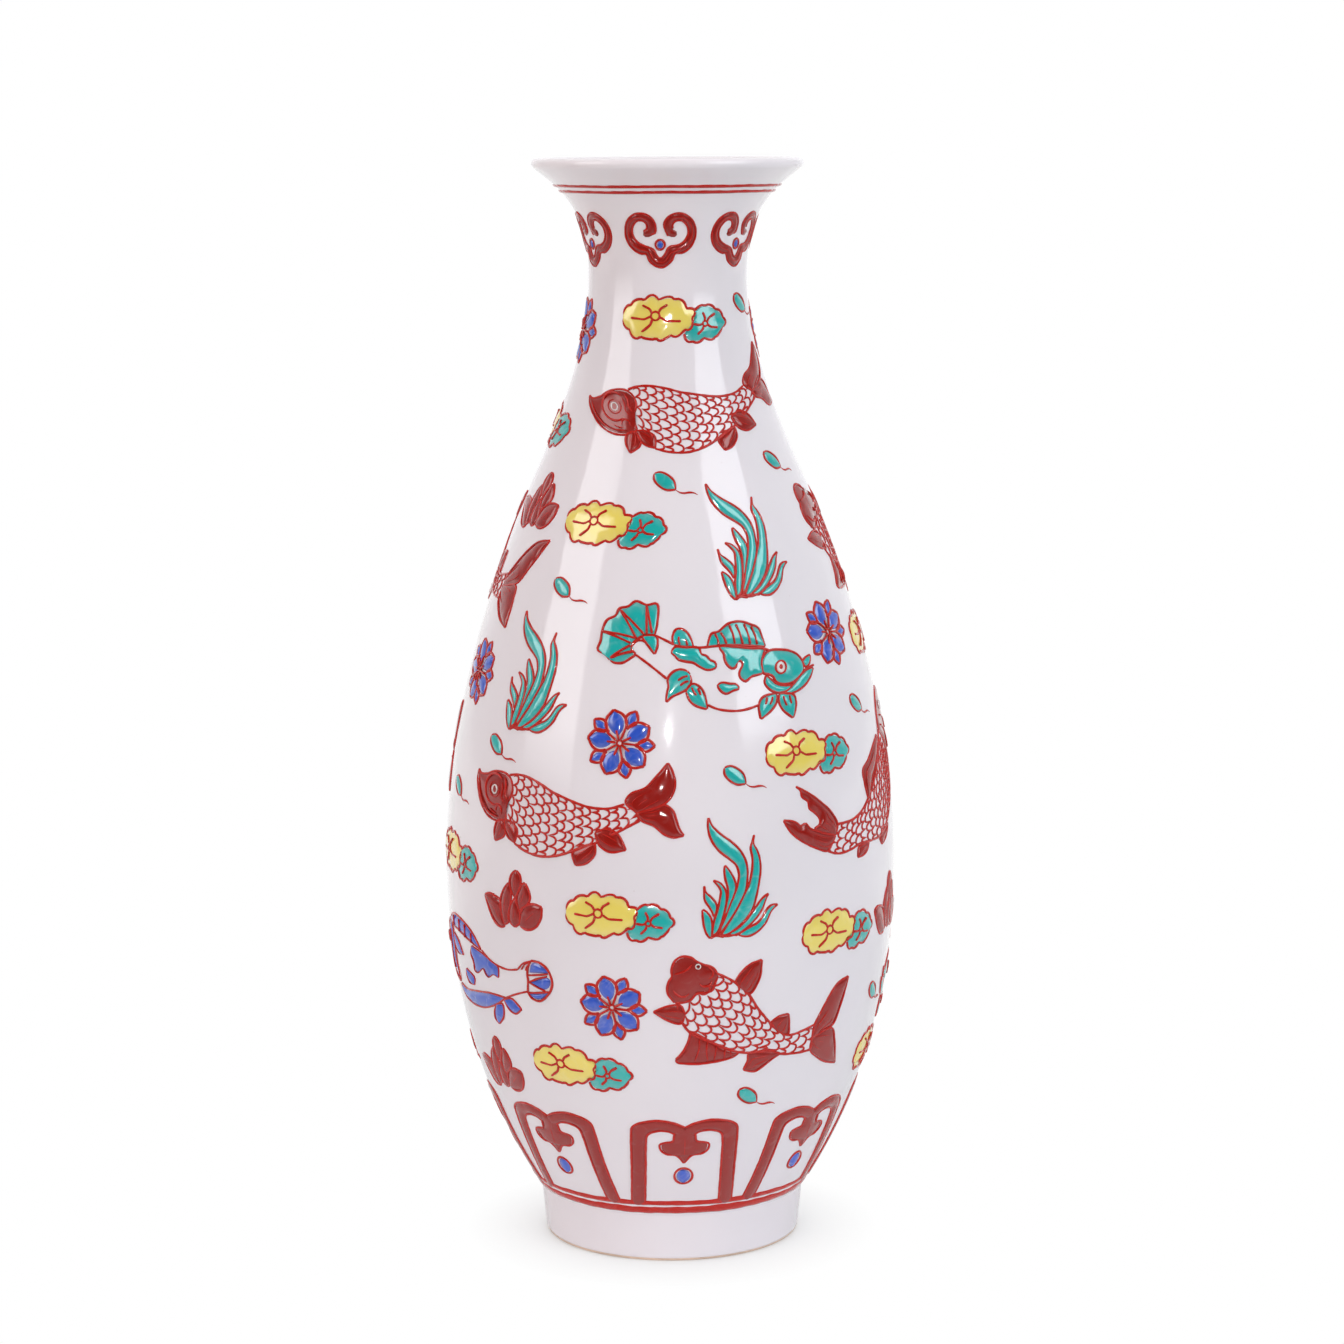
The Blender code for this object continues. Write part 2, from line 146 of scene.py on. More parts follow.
def on_wall(across, arc, lift, angle):
    """Points of the wall, at an arc length up it: each stands off by lift along the wall's own normal.

    The turn round the axis is the angle plus the distance across divided by the radius at that arc.
    """
    radius, height, slope = (np.interp(arc, ARCS, values) for values in (RADII, HEIGHTS, SLOPES))
    slant = np.hypot(1, slope)
    turn = angle + across / radius
    radius = radius + lift / slant
    points = np.stack([radius * np.sin(turn), -radius * np.cos(turn), height - lift * slope / slant], -1)
    return points, turn


# Properties


class FishVaseGlaze(bpy.types.PropertyGroup):
    """The porcelain and its glaze."""

    glaze: FloatVectorProperty(
        name="Glaze", description="Colour of the glaze at its lightest, where the least shade is painted", subtype="COLOR", default=(0.90, 0.845, 0.87)
    )
    # Darker glaze colour, mixed in by height as painted shade and in random patches where the glaze pools
    pooled_and_shaded: FloatVectorProperty(
        name="Pooled and shaded glaze", description="Colour of the glaze where it pools and where shade is painted lower down", subtype="COLOR",
        default=(0.75, 0.71, 0.75)
    )
    biscuit: FloatVectorProperty(
        name="Bare foot", description="Colour of the unglazed clay", subtype="COLOR",
        default=(0.70, 0.52, 0.41)
    )
    segments: IntProperty(
        name="Segments", description="Faces once round the vase", default=SEGMENTS, min=32, max=512
    )


class FishVaseEnamel(bpy.types.PropertyGroup):
    """The raised enamels."""

    line_width: FloatProperty(
        name="Line width", description="Width of an outline", default=0.00092, unit="LENGTH", precision=5
    )
    line_height: FloatProperty(
        name="Line height", description="How far a line stands off the glaze", default=0.00042,
        unit="LENGTH", precision=5
    )
    fill_height: FloatProperty(
        name="Fill height", description="How far a filled field stands off the glaze", default=0.0006,
        unit="LENGTH", precision=5
    )
    iron_red: FloatVectorProperty(
        name="Iron red", description="Red of the filled fields", subtype="COLOR",
        default=(0.295, 0.0075, 0.0035)
    )
    red_line: FloatVectorProperty(
        name="Line red", description="Red of the drawn lines", subtype="COLOR", default=(0.48, 0.012, 0.006)
    )
    teal: FloatVectorProperty(
        name="Teal", description="Green of leaves and of some fish", subtype="COLOR",
        default=(0.010, 0.42, 0.395)
    )
    yellow: FloatVectorProperty(
        name="Yellow", description="Yellow of the lily pads", subtype="COLOR", default=(0.84, 0.68, 0.13)
    )
    blue: FloatVectorProperty(
        name="Blue", description="Blue of flowers and catfish", subtype="COLOR",
        default=(0.026, 0.088, 0.54)
    )
    white: FloatVectorProperty(
        name="White", description="White of the eyes", subtype="COLOR", default=(0.78, 0.72, 0.70)
    )


class FishVaseStage(bpy.types.PropertyGroup):
    """The studio."""

    lens: FloatProperty(name="Lens", description="Focal length", default=95.65, unit="CAMERA")
    distance: FloatProperty(
        name="Distance", description="From the camera to the axis of the vase", default=1.178, unit="LENGTH"
    )
    height: FloatProperty(name="Height", description="Camera above the floor", default=0.3682,
                          unit="LENGTH")
    aside: FloatProperty(name="Aside", description="Camera to the right of the axis", default=0.0008,
                         unit="LENGTH")
    tilt: FloatProperty(
        name="Tilt", description="How far the camera looks down", default=math.radians(8.6), subtype="ANGLE"
    )
    roll: FloatProperty(
        name="Roll", description="Turn of the camera about its view", default=math.radians(-0.27),
        subtype="ANGLE"
    )
    floor: FloatProperty(name="Floor", description="Radius of the floor", default=6.0, unit="LENGTH")
    room: FloatProperty(name="Room", description="Room before the vase, as the glaze mirrors it",
                        default=0.04)
    backdrop: FloatProperty(name="Backdrop", description="Room behind the vase, as the glaze mirrors it",
                            default=1.05)
    ceiling: FloatProperty(name="Ceiling", description="Soft light from overhead", default=1.22)
    front_fill: FloatProperty(name="Front fill", description="Soft light from the front", default=4.3)
    left_strip: FloatProperty(name="Left strip", description="Left strip light in the glaze", default=3.15)
    right_strip: FloatProperty(name="Right strip", description="Right strip light in the glaze",
                               default=3.6)
    front_lamp: FloatProperty(name="Front lamp", description="Small lamp that glints in the enamels",
                              default=20000.0)
    left_fill: FloatProperty(name="Left fill", description="Soft light from the left", default=3.9)
    right_fill: FloatProperty(name="Right fill", description="Soft light from the right", default=4.8)


# Materials


def add_node(tree, kind, inputs=None, **settings):
    """A node with its settings; an input is linked where a socket is given, or else takes the value."""
    node = tree.nodes.new(kind)
    for key, value in settings.items():
        setattr(node, key, value)
    for key, value in (inputs or {}).items():
        if isinstance(value, bpy.types.NodeSocket):
            tree.links.new(value, node.inputs[key])
        else:
            node.inputs[key].default_value = value
    return node


COLOUR, VALUE = "NodeSocketColor", "NodeSocketFloat"
LOOK = (("Colour", COLOUR), ("Height", VALUE), ("Roughness", VALUE))


def new_group(name, inputs):
    """An empty node group that makes a colour, a height and a roughness, and its given and made sockets."""
    group = bpy.data.node_groups.new(name, "ShaderNodeTree")
    for socket, kind, value in inputs:
        group.interface.new_socket(socket, in_out="INPUT", socket_type=kind).default_value = value
    for socket, kind in LOOK:
        group.interface.new_socket(socket, in_out="OUTPUT", socket_type=kind)
    given, made = add_node(group, "NodeGroupInput"), add_node(group, "NodeGroupOutput")
    return group, given.outputs, made.inputs


def stretched(tree, value, low, high, to_low=0.0, to_high=1.0):
    """The value carried from one range to another and held at its ends."""
    inputs = {"Value": value, "From Min": low, "From Max": high, "To Min": to_low, "To Max": to_high}
    return add_node(tree, "ShaderNodeMapRange", inputs).outputs["Result"]


def blended(tree, factor, first, second):
    """A mix of two colours."""
    node = add_node(tree, "ShaderNodeMix", {0: factor, 6: first, 7: second}, data_type="RGBA")
    return node.outputs[2]


def added(tree, first, second, operation="ADD"):
    """Two values put together."""
    return add_node(tree, "ShaderNodeMath", {0: first, 1: second}, operation=operation).outputs[0]


def noise(tree, place, scale, detail, **more):
    """Noise at a place, of a scale and detail; more inputs go by their names."""
    inputs = {"Vector": place, "Scale": scale, "Detail": detail}
    inputs |= {key.title(): value for key, value in more.items()}
    return add_node(tree, "ShaderNodeTexNoise", inputs).outputs["Fac"]


# Heights from which, and down to which, painted shade darkens the glaze
MOUTH_SHADE_RAMP = (0.345, 0.295)
BASE_SHADE_RAMP = (0.17, 0.04)


def painted_shade_glaze_group():
    """Glaze with painted shade: lighter at the mouth and neck, darker towards the base, with random patches
    where it pools, ripples, rings and specks.
    """
    group, given, made = new_group(
        "Glaze flow",
        [("Thin", COLOUR, (1, 1, 1, 1)), ("Thick", COLOUR, (1, 1, 1, 1)),
         ("Speck", COLOUR, (0.3, 0.1, 0.06, 1)), ("Specks", VALUE, 0.5)],
    )
    place = add_node(group, "ShaderNodeTexCoord").outputs["Object"]
    patch = noise(group, place, 16, 3, roughness=0.55)
    ripple = noise(group, place, 130, 2, roughness=0.45)
    swell = noise(group, place, 34, 1)
    speck = add_node(group, "ShaderNodeTexVoronoi", {"Vector": place, "Scale": 210}, feature="F1")
    chosen = noise(group, place, 75, 1)
    rare = stretched(group, chosen, 0.66, 0.72)
    dot = stretched(group, speck.outputs["Distance"], 0.10, 0.045)
    dotted = added(group, added(group, rare, dot, "MULTIPLY"), given["Specks"], "MULTIPLY")
    height = add_node(group, "ShaderNodeSeparateXYZ", {"Vector": place}).outputs["Z"]
    # Painted shade: the glaze darkens down the vase by height; the noise patches below add where the glaze
    # pools
    run = added(group, stretched(group, height, *MOUTH_SHADE_RAMP, 0.15, 0.55),
                stretched(group, height, *BASE_SHADE_RAMP, 0.0, 0.3))
    thick_and_shaded = added(group, run, stretched(group, patch, 0.3, 0.7, 0.0, 0.2))
    base = blended(group, thick_and_shaded, given["Thin"], given["Thick"])
    links = group.links
    links.new(blended(group, dotted, base, given["Speck"]), made["Colour"])
    level = add_node(group, "ShaderNodeVectorMath", {0: place, 1: (0.03, 0.03, 1)},
                     operation="MULTIPLY").outputs[0]
    rings = noise(group, level, 420, 2)
    fine = added(group, added(group, ripple, 0.22, "MULTIPLY"), added(group, rings, 0.06, "MULTIPLY"))
    links.new(added(group, swell, fine), made["Height"])
    links.new(stretched(group, ripple, 0.3, 0.7, 0.10, 0.18), made["Roughness"])
    return group


def pooling_group():
    """Enamel laid with a loaded brush: deeper where it is laid heavily and paler at its thin edges, with
    paler streaks that are partly thin enamel and partly painted sheen.
    """
    group, given, made = new_group(
        "Enamel pooling",
        [("Deep", COLOUR, (0, 0, 0, 1)), ("Washed", COLOUR, (1, 1, 1, 1)), ("Streaks", VALUE, 0.5)],
    )
    place = add_node(group, "ShaderNodeTexCoord").outputs["Object"]
    load = add_node(group, "ShaderNodeAttribute", attribute_name="pool").outputs["Fac"]
    drift = noise(group, place, 210, 3, distortion=1.4)
    grain = noise(group, place, 900, 2)
    # Painted sheen: noise streaks the fields paler, partly as thin enamel and partly standing in for soft
    # reflections
    sheen_streaks = stretched(group, drift, 0.52, 0.74)
    sheen_streak_share = added(group, sheen_streaks, given["Streaks"], "MULTIPLY")
    edge = stretched(group, load, 0.75, 0.15, 0.0, 0.45)
    worn = add_node(group, "ShaderNodeClamp", {"Value": added(group, sheen_streak_share, edge)}).outputs[0]
    links = group.links
    links.new(blended(group, worn, given["Deep"], given["Washed"]), made["Colour"])
    lump = noise(group, place, 230, 0.3, distortion=0.4)
    fine = added(group, grain, 0.02, "MULTIPLY")
    links.new(added(group, lump, fine), made["Height"])
    links.new(stretched(group, drift, 0.3, 0.75, 0.2, 0.3), made["Roughness"])
    return group


def clay_group():
    """Bare fired clay: a warm flashed body with fine grit."""
    group, given, made = new_group(
        "Bare clay", [("Clay", COLOUR, (1, 1, 1, 1)), ("Flashed", COLOUR, (1, 1, 1, 1))]
    )
    place = add_node(group, "ShaderNodeTexCoord").outputs["Object"]
    flash = noise(group, place, 60, 4)
    grit = noise(group, place, 1500, 3)
    share = stretched(group, flash, 0.35, 0.65)
    links = group.links
    links.new(blended(group, share, given["Clay"], given["Flashed"]), made["Colour"])
    links.new(grit, made["Height"])
    links.new(stretched(group, grit, 0.3, 0.7, 0.6, 0.85), made["Roughness"])
    return group


def surface(name, group, colours, shader, bump):
    """A material whose colour, relief and roughness come from a node group."""
    material = bpy.data.materials.get(name)
    if material:
        return material
    material = bpy.data.materials.new(name)
    material.use_nodes = True
    tree = material.node_tree
    tree.nodes.clear()
    source = bpy.data.node_groups.get(group) or NODE_GROUPS[group]()
    look = add_node(tree, "ShaderNodeGroup", node_tree=source)
    for socket, value in colours.items():
        look.inputs[socket].default_value = value
    strength, depth = bump
    relief = add_node(
        tree, "ShaderNodeBump", {"Height": look.outputs["Height"], "Strength": strength, "Distance": depth}
    )
    finish = {
        "Base Color": look.outputs["Colour"],
        "Roughness": look.outputs["Roughness"],
        "Normal": relief.outputs["Normal"],
        "Coat Normal": relief.outputs["Normal"],
    }
    body = add_node(tree, "ShaderNodeBsdfPrincipled", finish | shader)
    add_node(tree, "ShaderNodeOutputMaterial", {"Surface": body.outputs["BSDF"]})
    return material


NODE_GROUPS = {"Glaze flow": painted_shade_glaze_group, "Enamel pooling": pooling_group, "Bare clay": clay_group}


def shaded(colour, factor):
    """A colour made lighter or darker, as the four numbers of a socket."""
    return (*(min(channel * factor, 1.0) for channel in colour), 1.0)


def glassy(roughness, refraction):
    """Shader values of a dull body under a clear coat, which alone carries the reflections."""
    return {"IOR": 1.5, "Specular IOR Level": 0.05, "Coat Weight": 1.0, "Coat Roughness": roughness,
            "Coat IOR": refraction}


def glaze_material(settings):
    """Milky white porcelain under a clear, glassy glaze."""
    # The darker colour carries painted shade lower down the vase, as well as random patches where the glaze
    # pools
    colours = {"Thin": shaded(settings.glaze, 1), "Thick": shaded(settings.pooled_and_shaded, 1), "Specks": 0.35}
    return surface("porcelain_glaze", "Glaze flow", colours, glassy(0.02, 1.5), (0.5, 0.0006))


def biscuit_material(settings):
    """Bare clay of the foot rim."""
    colours = {"Clay": shaded(settings.biscuit, 1), "Flashed": shaded(settings.biscuit, 0.72)}
    return surface("bare_porcelain", "Bare clay", colours, {"Specular IOR Level": 0.3}, (0.35, 0.0002))


def slip_material(settings):
    """Luting slip under the glaze."""
    colours = {"Clay": shaded(settings.pooled_and_shaded, 1), "Flashed": shaded(settings.pooled_and_shaded, 0.9)}
    return surface("luting_slip_clay", "Bare clay", colours, {"Specular IOR Level": 0.3}, (0.3, 0.0002))


WASHES = {"iron_red": 0.03, "red_line": 0.03, "teal": 0.20, "yellow": 0.15, "blue": 0.18, "white": 0.3}
GLASS = {"iron_red": 1.62, "red_line": 1.36, "teal": 1.85, "yellow": 1.85, "blue": 1.8, "white": 1.5}
# How much each enamel is streaked paler: partly thin enamel, partly painted sheen
STREAKS_AND_SHEEN = {"iron_red": 0.55, "red_line": 0.5, "teal": 0.5, "yellow": 0.5, "blue": 0.75, "white": 0.3}
UNDER_ENAMEL = 0.78


def enamel_material(settings, pigment):
    """Glassy enamel of one pigment."""
    deep = getattr(settings, pigment)
    share = WASHES[pigment]
    thin = [channel * (1 - share) + UNDER_ENAMEL * share for channel in deep]
    colours = {"Deep": shaded(deep, 1), "Washed": shaded(thin, 1), "Streaks": STREAKS_AND_SHEEN[pigment]}
    shader = glassy(0.12, GLASS[pigment])
    return surface(f"fired_{pigment}", "Enamel pooling", colours, shader, (0.3, 0.0009))


# Meshes


def put_in_mesh(name, points, quads, triangles, material, uv):
    """A new object from whole arrays of points, faces and the map's coordinates at each face corner."""
    mesh = bpy.data.meshes.new(name)
    corners = np.concatenate([quads.ravel(), triangles.ravel()])
    starts = np.concatenate([np.arange(len(quads)) * 4, len(quads) * 4 + np.arange(len(triangles)) * 3])
    mesh.vertices.add(len(points))
    mesh.loops.add(len(corners))
    mesh.polygons.add(len(starts))
    mesh.vertices.foreach_set("co", np.asarray(points, np.float32).ravel())
    mesh.loops.foreach_set("vertex_index", corners.astype(np.int32))
    mesh.polygons.foreach_set("loop_start", starts.astype(np.int32))
    mesh.polygons.foreach_set("use_smooth", np.ones(len(starts), bool))
    mesh.uv_layers.new(name="OFBake").uv.foreach_set("vector", np.asarray(uv, np.float32).ravel())
    mesh.update(calc_edges=True)
    mesh.validate()
    mesh.materials.append(material)
    piece = bpy.data.objects.new(name, mesh)
    bpy.context.scene.collection.objects.link(piece)
    return piece


def grid_faces(rows, columns, wrap):
    """Quads between the points of a grid that closes up from column to column, and in rows if asked."""
    i, j = np.indices((rows if wrap else rows - 1, columns))
    after_i, after_j = (i + 1) % rows, (j + 1) % columns
    corners = [(i, j), (after_i, j), (after_i, after_j), (i, after_j)]
    return np.stack([row * columns + column for row, column in corners], -1).reshape(-1, 4)


def turned(name, profile, material, segments):
    """A shell turned on the axis: a closed profile, outside down and inside up, carried once round.

    The point at turn a is (radius sin a, -radius cos a, height). The map unrolls it: u is the share of the
    turn and v the share of the profile's length.
    """
    profile = np.asarray(profile)
    rows = len(profile)
    angles = np.arange(segments) * 2 * np.pi / segments
    radius = profile[:, :1]
    points = np.stack(
        [radius * np.sin(angles), -radius * np.cos(angles), np.repeat(profile[:, 1:], segments, axis=1)], -1
    )
    quads = grid_faces(rows, segments, True)
    i, j = np.indices((rows, segments))
    steps = np.linalg.norm(np.diff(profile, axis=0, append=profile[:1]), axis=1)
    shares = np.concatenate([[0], np.cumsum(steps)]) / steps.sum()
    down = np.stack([shares[i], shares[i + 1], shares[i + 1], shares[i]], -1)
    turns = np.stack([j, j, j + 1, j + 1], -1) / segments
    uv = np.stack([turns, down], -1).reshape(-1, 2)
    piece = put_in_mesh(name, points.reshape(-1, 3), quads, np.empty((0, 3), int), material, uv)
    piece.data.set_sharp_from_angle(angle=SHARP_EDGE)
    return piece


def even_rows(low, high, row):
    """Heights from high to low in even rows, with a thin row at each end so that shading meets there."""
    count = max(int(round((high - low) / row)), 2)
    inner = np.linspace(high - SEAM_ROW, low + SEAM_ROW, count + 1)
    return np.concatenate([[high], inner, [low]])


def wall_profile(low, high):
    """A stretch of wall between two joints: the outside down, then the inside up, an even wall apart."""
    outside = even_rows(low, high, WALL_ROW)
    inside = np.linspace(low, high, int((high - low) / INSIDE_ROW) + 2)
    inner = np.interp(inside, HEIGHTS, RADII) - WALL * np.hypot(1, np.interp(inside, HEIGHTS, SLOPES))
    outer = np.interp(outside, HEIGHTS, RADII)
    return np.concatenate([np.stack([outer, outside], -1), np.stack([inner, inside], -1)])


def mouth_profile():
    """The flared mouth: the outside down, the inside up along the wall's normal, and a half round lip."""
    outside = even_rows(NECK[1], LIP_POINT[1], WALL_ROW / 2)
    outer = np.interp(outside, HEIGHTS, RADII)
    heights = np.linspace(NECK[1], LIP_POINT[1], MOUTH_ROWS)
    slopes = np.interp(heights, HEIGHTS, SLOPES)
    thickness = np.linspace(WALL, 2 * LIP_RADIUS, MOUTH_ROWS) / np.hypot(1, slopes)
    inner = np.interp(heights, HEIGHTS, RADII) - thickness
    risen = heights + thickness * slopes
    risen[0] = NECK[1]
    turns = np.linspace(math.pi - LIP_LEAN, -LIP_LEAN, LIP_POINTS)[1:-1]
    nose = np.stack(
        [MOUTH_RADIUS - LIP_RADIUS + LIP_RADIUS * np.cos(turns),
         RIM - LIP_RADIUS + LIP_RADIUS * np.sin(turns)], -1
    )
    return np.concatenate([np.stack([outer, outside], -1), np.stack([inner, risen], -1), nose])


def foot_profile():
    """The glazed foot: a leaning outside with a soft edge to its glaze, and the ledge under the base."""
    radius, top = FOOT
    low = radius - FOOT_TAPER
    inner = radius - FOOT_WIDTH
    seat = inner + LEDGE_WIDTH
    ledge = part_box("base_slip")[0].z
    heights = even_rows(BARE_RIM + 3 * GLAZE_EDGE, top, WALL_ROW)
    share = heights / top
    outer = low + FOOT_TAPER * share + GLAZE_EDGE * (1 - share)
    edge = [(low + GLAZE_EDGE * 0.7, BARE_RIM + GLAZE_EDGE), (low, BARE_RIM)]
    inside = [(inner, BARE_RIM), (inner, ledge), (seat, ledge), (seat, top)]
    return np.concatenate([np.stack([outer, heights], -1), edge, inside])


def bare_rim_profile():
    """The unglazed rim that the vase stands on, with rounded edges."""
    outer = FOOT[0] - FOOT_TAPER - FOOT_EDGE_ROUND
    inner = FOOT[0] - FOOT_WIDTH + FOOT_EDGE_ROUND
    turns = np.linspace(0, math.pi / 2, BARE_RIM_POINTS)
    out, up = FOOT_EDGE_ROUND * np.cos(turns), FOOT_EDGE_ROUND * (1 - np.sin(turns))
    outside = np.stack([outer + out, up], -1)
    inside = np.stack([inner - out, up], -1)[::-1]
    top = [(outer + FOOT_EDGE_ROUND, BARE_RIM)]
    return np.concatenate([top, outside, inside, [(inner - FOOT_EDGE_ROUND, BARE_RIM)]])


# Enamel work, in millimetres


SINK = 0.12
OVERLAP = 0.1
BEAD_POINTS = 7
POOL_POINTS = 9
POOL_REACH = 1.1
POOL_ROUND = 0.9
STROKE_STEP = 0.75
FIELD_STEP = 0.9
TRACE_SAMPLES = 10
STROKE_SWAYS = ((0.07, 0.9), (0.05, 2.1))
RING_SWAY = 0.1
RING_WAVES = 3
STROKE_CAP = (0, 0.06, 0.2, 0.5)
TAPER_TIP = 0.3
DOT_POINTS = 9
RING_POINTS = 12


def trace(points, closed=False):
    """A smooth line through points: cubic pieces whose slope at a point weighs the chords beside it."""
    points = np.array(points, float)
    segments = slice(None)
    if closed:
        segments = slice(2, len(points) + 2)
        points = np.concatenate([points[-2:], points, points[:3]])
    chords = np.linalg.norm(np.diff(points, axis=0), axis=1)
    times = np.concatenate([[0], np.cumsum(np.sqrt(chords))])
    slopes = np.gradient(points, times, axis=0)
    u = np.linspace(0, 1, TRACE_SAMPLES, endpoint=False)[None, :, None]
    step = np.diff(times)[:, None, None]
    first, last = points[:-1, None], points[1:, None]
    leave, meet = slopes[:-1, None] * step, slopes[1:, None] * step
    line = (2 * u**3 - 3 * u**2 + 1) * first + (u**3 - 2 * u**2 + u) * leave
    line = line + (3 * u**2 - 2 * u**3) * last + (u**3 - u**2) * meet
    line = line[segments].reshape(-1, 2)
    return np.concatenate([line, line[:1] if closed else points[-1:]])


def lengths(line):
    """Distance along a line to each of its points."""
    return np.concatenate([[0], np.cumsum(np.linalg.norm(np.diff(line, axis=0), axis=1))])


def along(line, distances):
    """Points of a line at given distances."""
    reach = lengths(line)
    return np.stack([np.interp(distances, reach, line[:, axis]) for axis in (0, 1)], -1)


def tubes(rings, closed=False):
    """Points and faces of a batch of tubes.

    The array holds each tube's rings of points in order. Neighbouring rings are joined by quads, and an
    open tube is drawn together at each end to the middle of its first or last ring.
    """
    count, _, around, _ = rings.shape
    body = rings if closed else rings[:, 1:-1]
    rows = body.shape[1]
    quads = grid_faces(rows, around, closed)[:, [0, 3, 2, 1]]
    points = body.reshape(count, -1, 3)
    triangles = np.empty((0, 3), int)
    if not closed:
        points = np.concatenate([points, rings[:, [0, -1]].mean(axis=2)], axis=1)
        column = np.arange(around)
        after = (column + 1) % around
        tip = np.full(around, rows * around)
        last = (rows - 1) * around
        fans = [(tip, after, column), (last + column, last + after, tip + 1)]
        triangles = np.concatenate([np.stack(fan, -1) for fan in fans])
    shift = np.arange(count)[:, None, None] * points.shape[1]
    return points.reshape(-1, 3), (quads + shift).reshape(-1, 4), (triangles + shift).reshape(-1, 3)


def left_of(run, least=0.0):
    """Unit vectors to the left of the way that a line runs; least keeps a run of no length from failing."""
    return np.stack([-run[..., 1], run[..., 0]], -1) / (np.linalg.norm(run, axis=-1, keepdims=True) + least)


def beads(paths, widths, heights, base, closed=False):
    """Ridges of enamel along paths, drawn across the way that each one runs."""
    run = np.roll(paths, -1, -2) - np.roll(paths, 1, -2) if closed else np.gradient(paths, axis=-2)
    return ridges(paths, left_of(run, 1e-9), widths, heights, base)


def ridges(paths, left, widths, heights, base):
    """Half an ellipse across each point of the paths, as wide and high as asked there."""
    turn = np.linspace(0, np.pi, BEAD_POINTS)
    reach = widths[..., None] / 2 * np.cos(turn)
    flat = paths[..., None, :] + reach[..., None] * left[..., None, :]
    lift = base + (heights[..., None] + SINK) * np.sin(turn) - SINK
    return np.concatenate([flat, lift[..., None]], -1)


def pool(edge, other, height, base):
    """A filled field: straight lines across from edge to edge, domed and lower where it is narrow.

    Its crown is height x (1 - e^(-width / reach)), and falls to the edges as (1 - across^2)^0.9.
    """
    across = np.sin(np.linspace(-1, 1, POOL_POINTS) * np.pi / 2)
    share = ((1 + across) / 2)[:, None]
    flat = edge[:, None] * (1 - share) + other[:, None] * share
    wide = np.linalg.norm(edge - other, axis=-1)
    crown = height * (1 - np.exp(-wide / POOL_REACH)) + SINK
    lift = base + crown[:, None] * (1 - across**2) ** POOL_ROUND - SINK
    return np.concatenate([flat, lift[..., None]], -1)


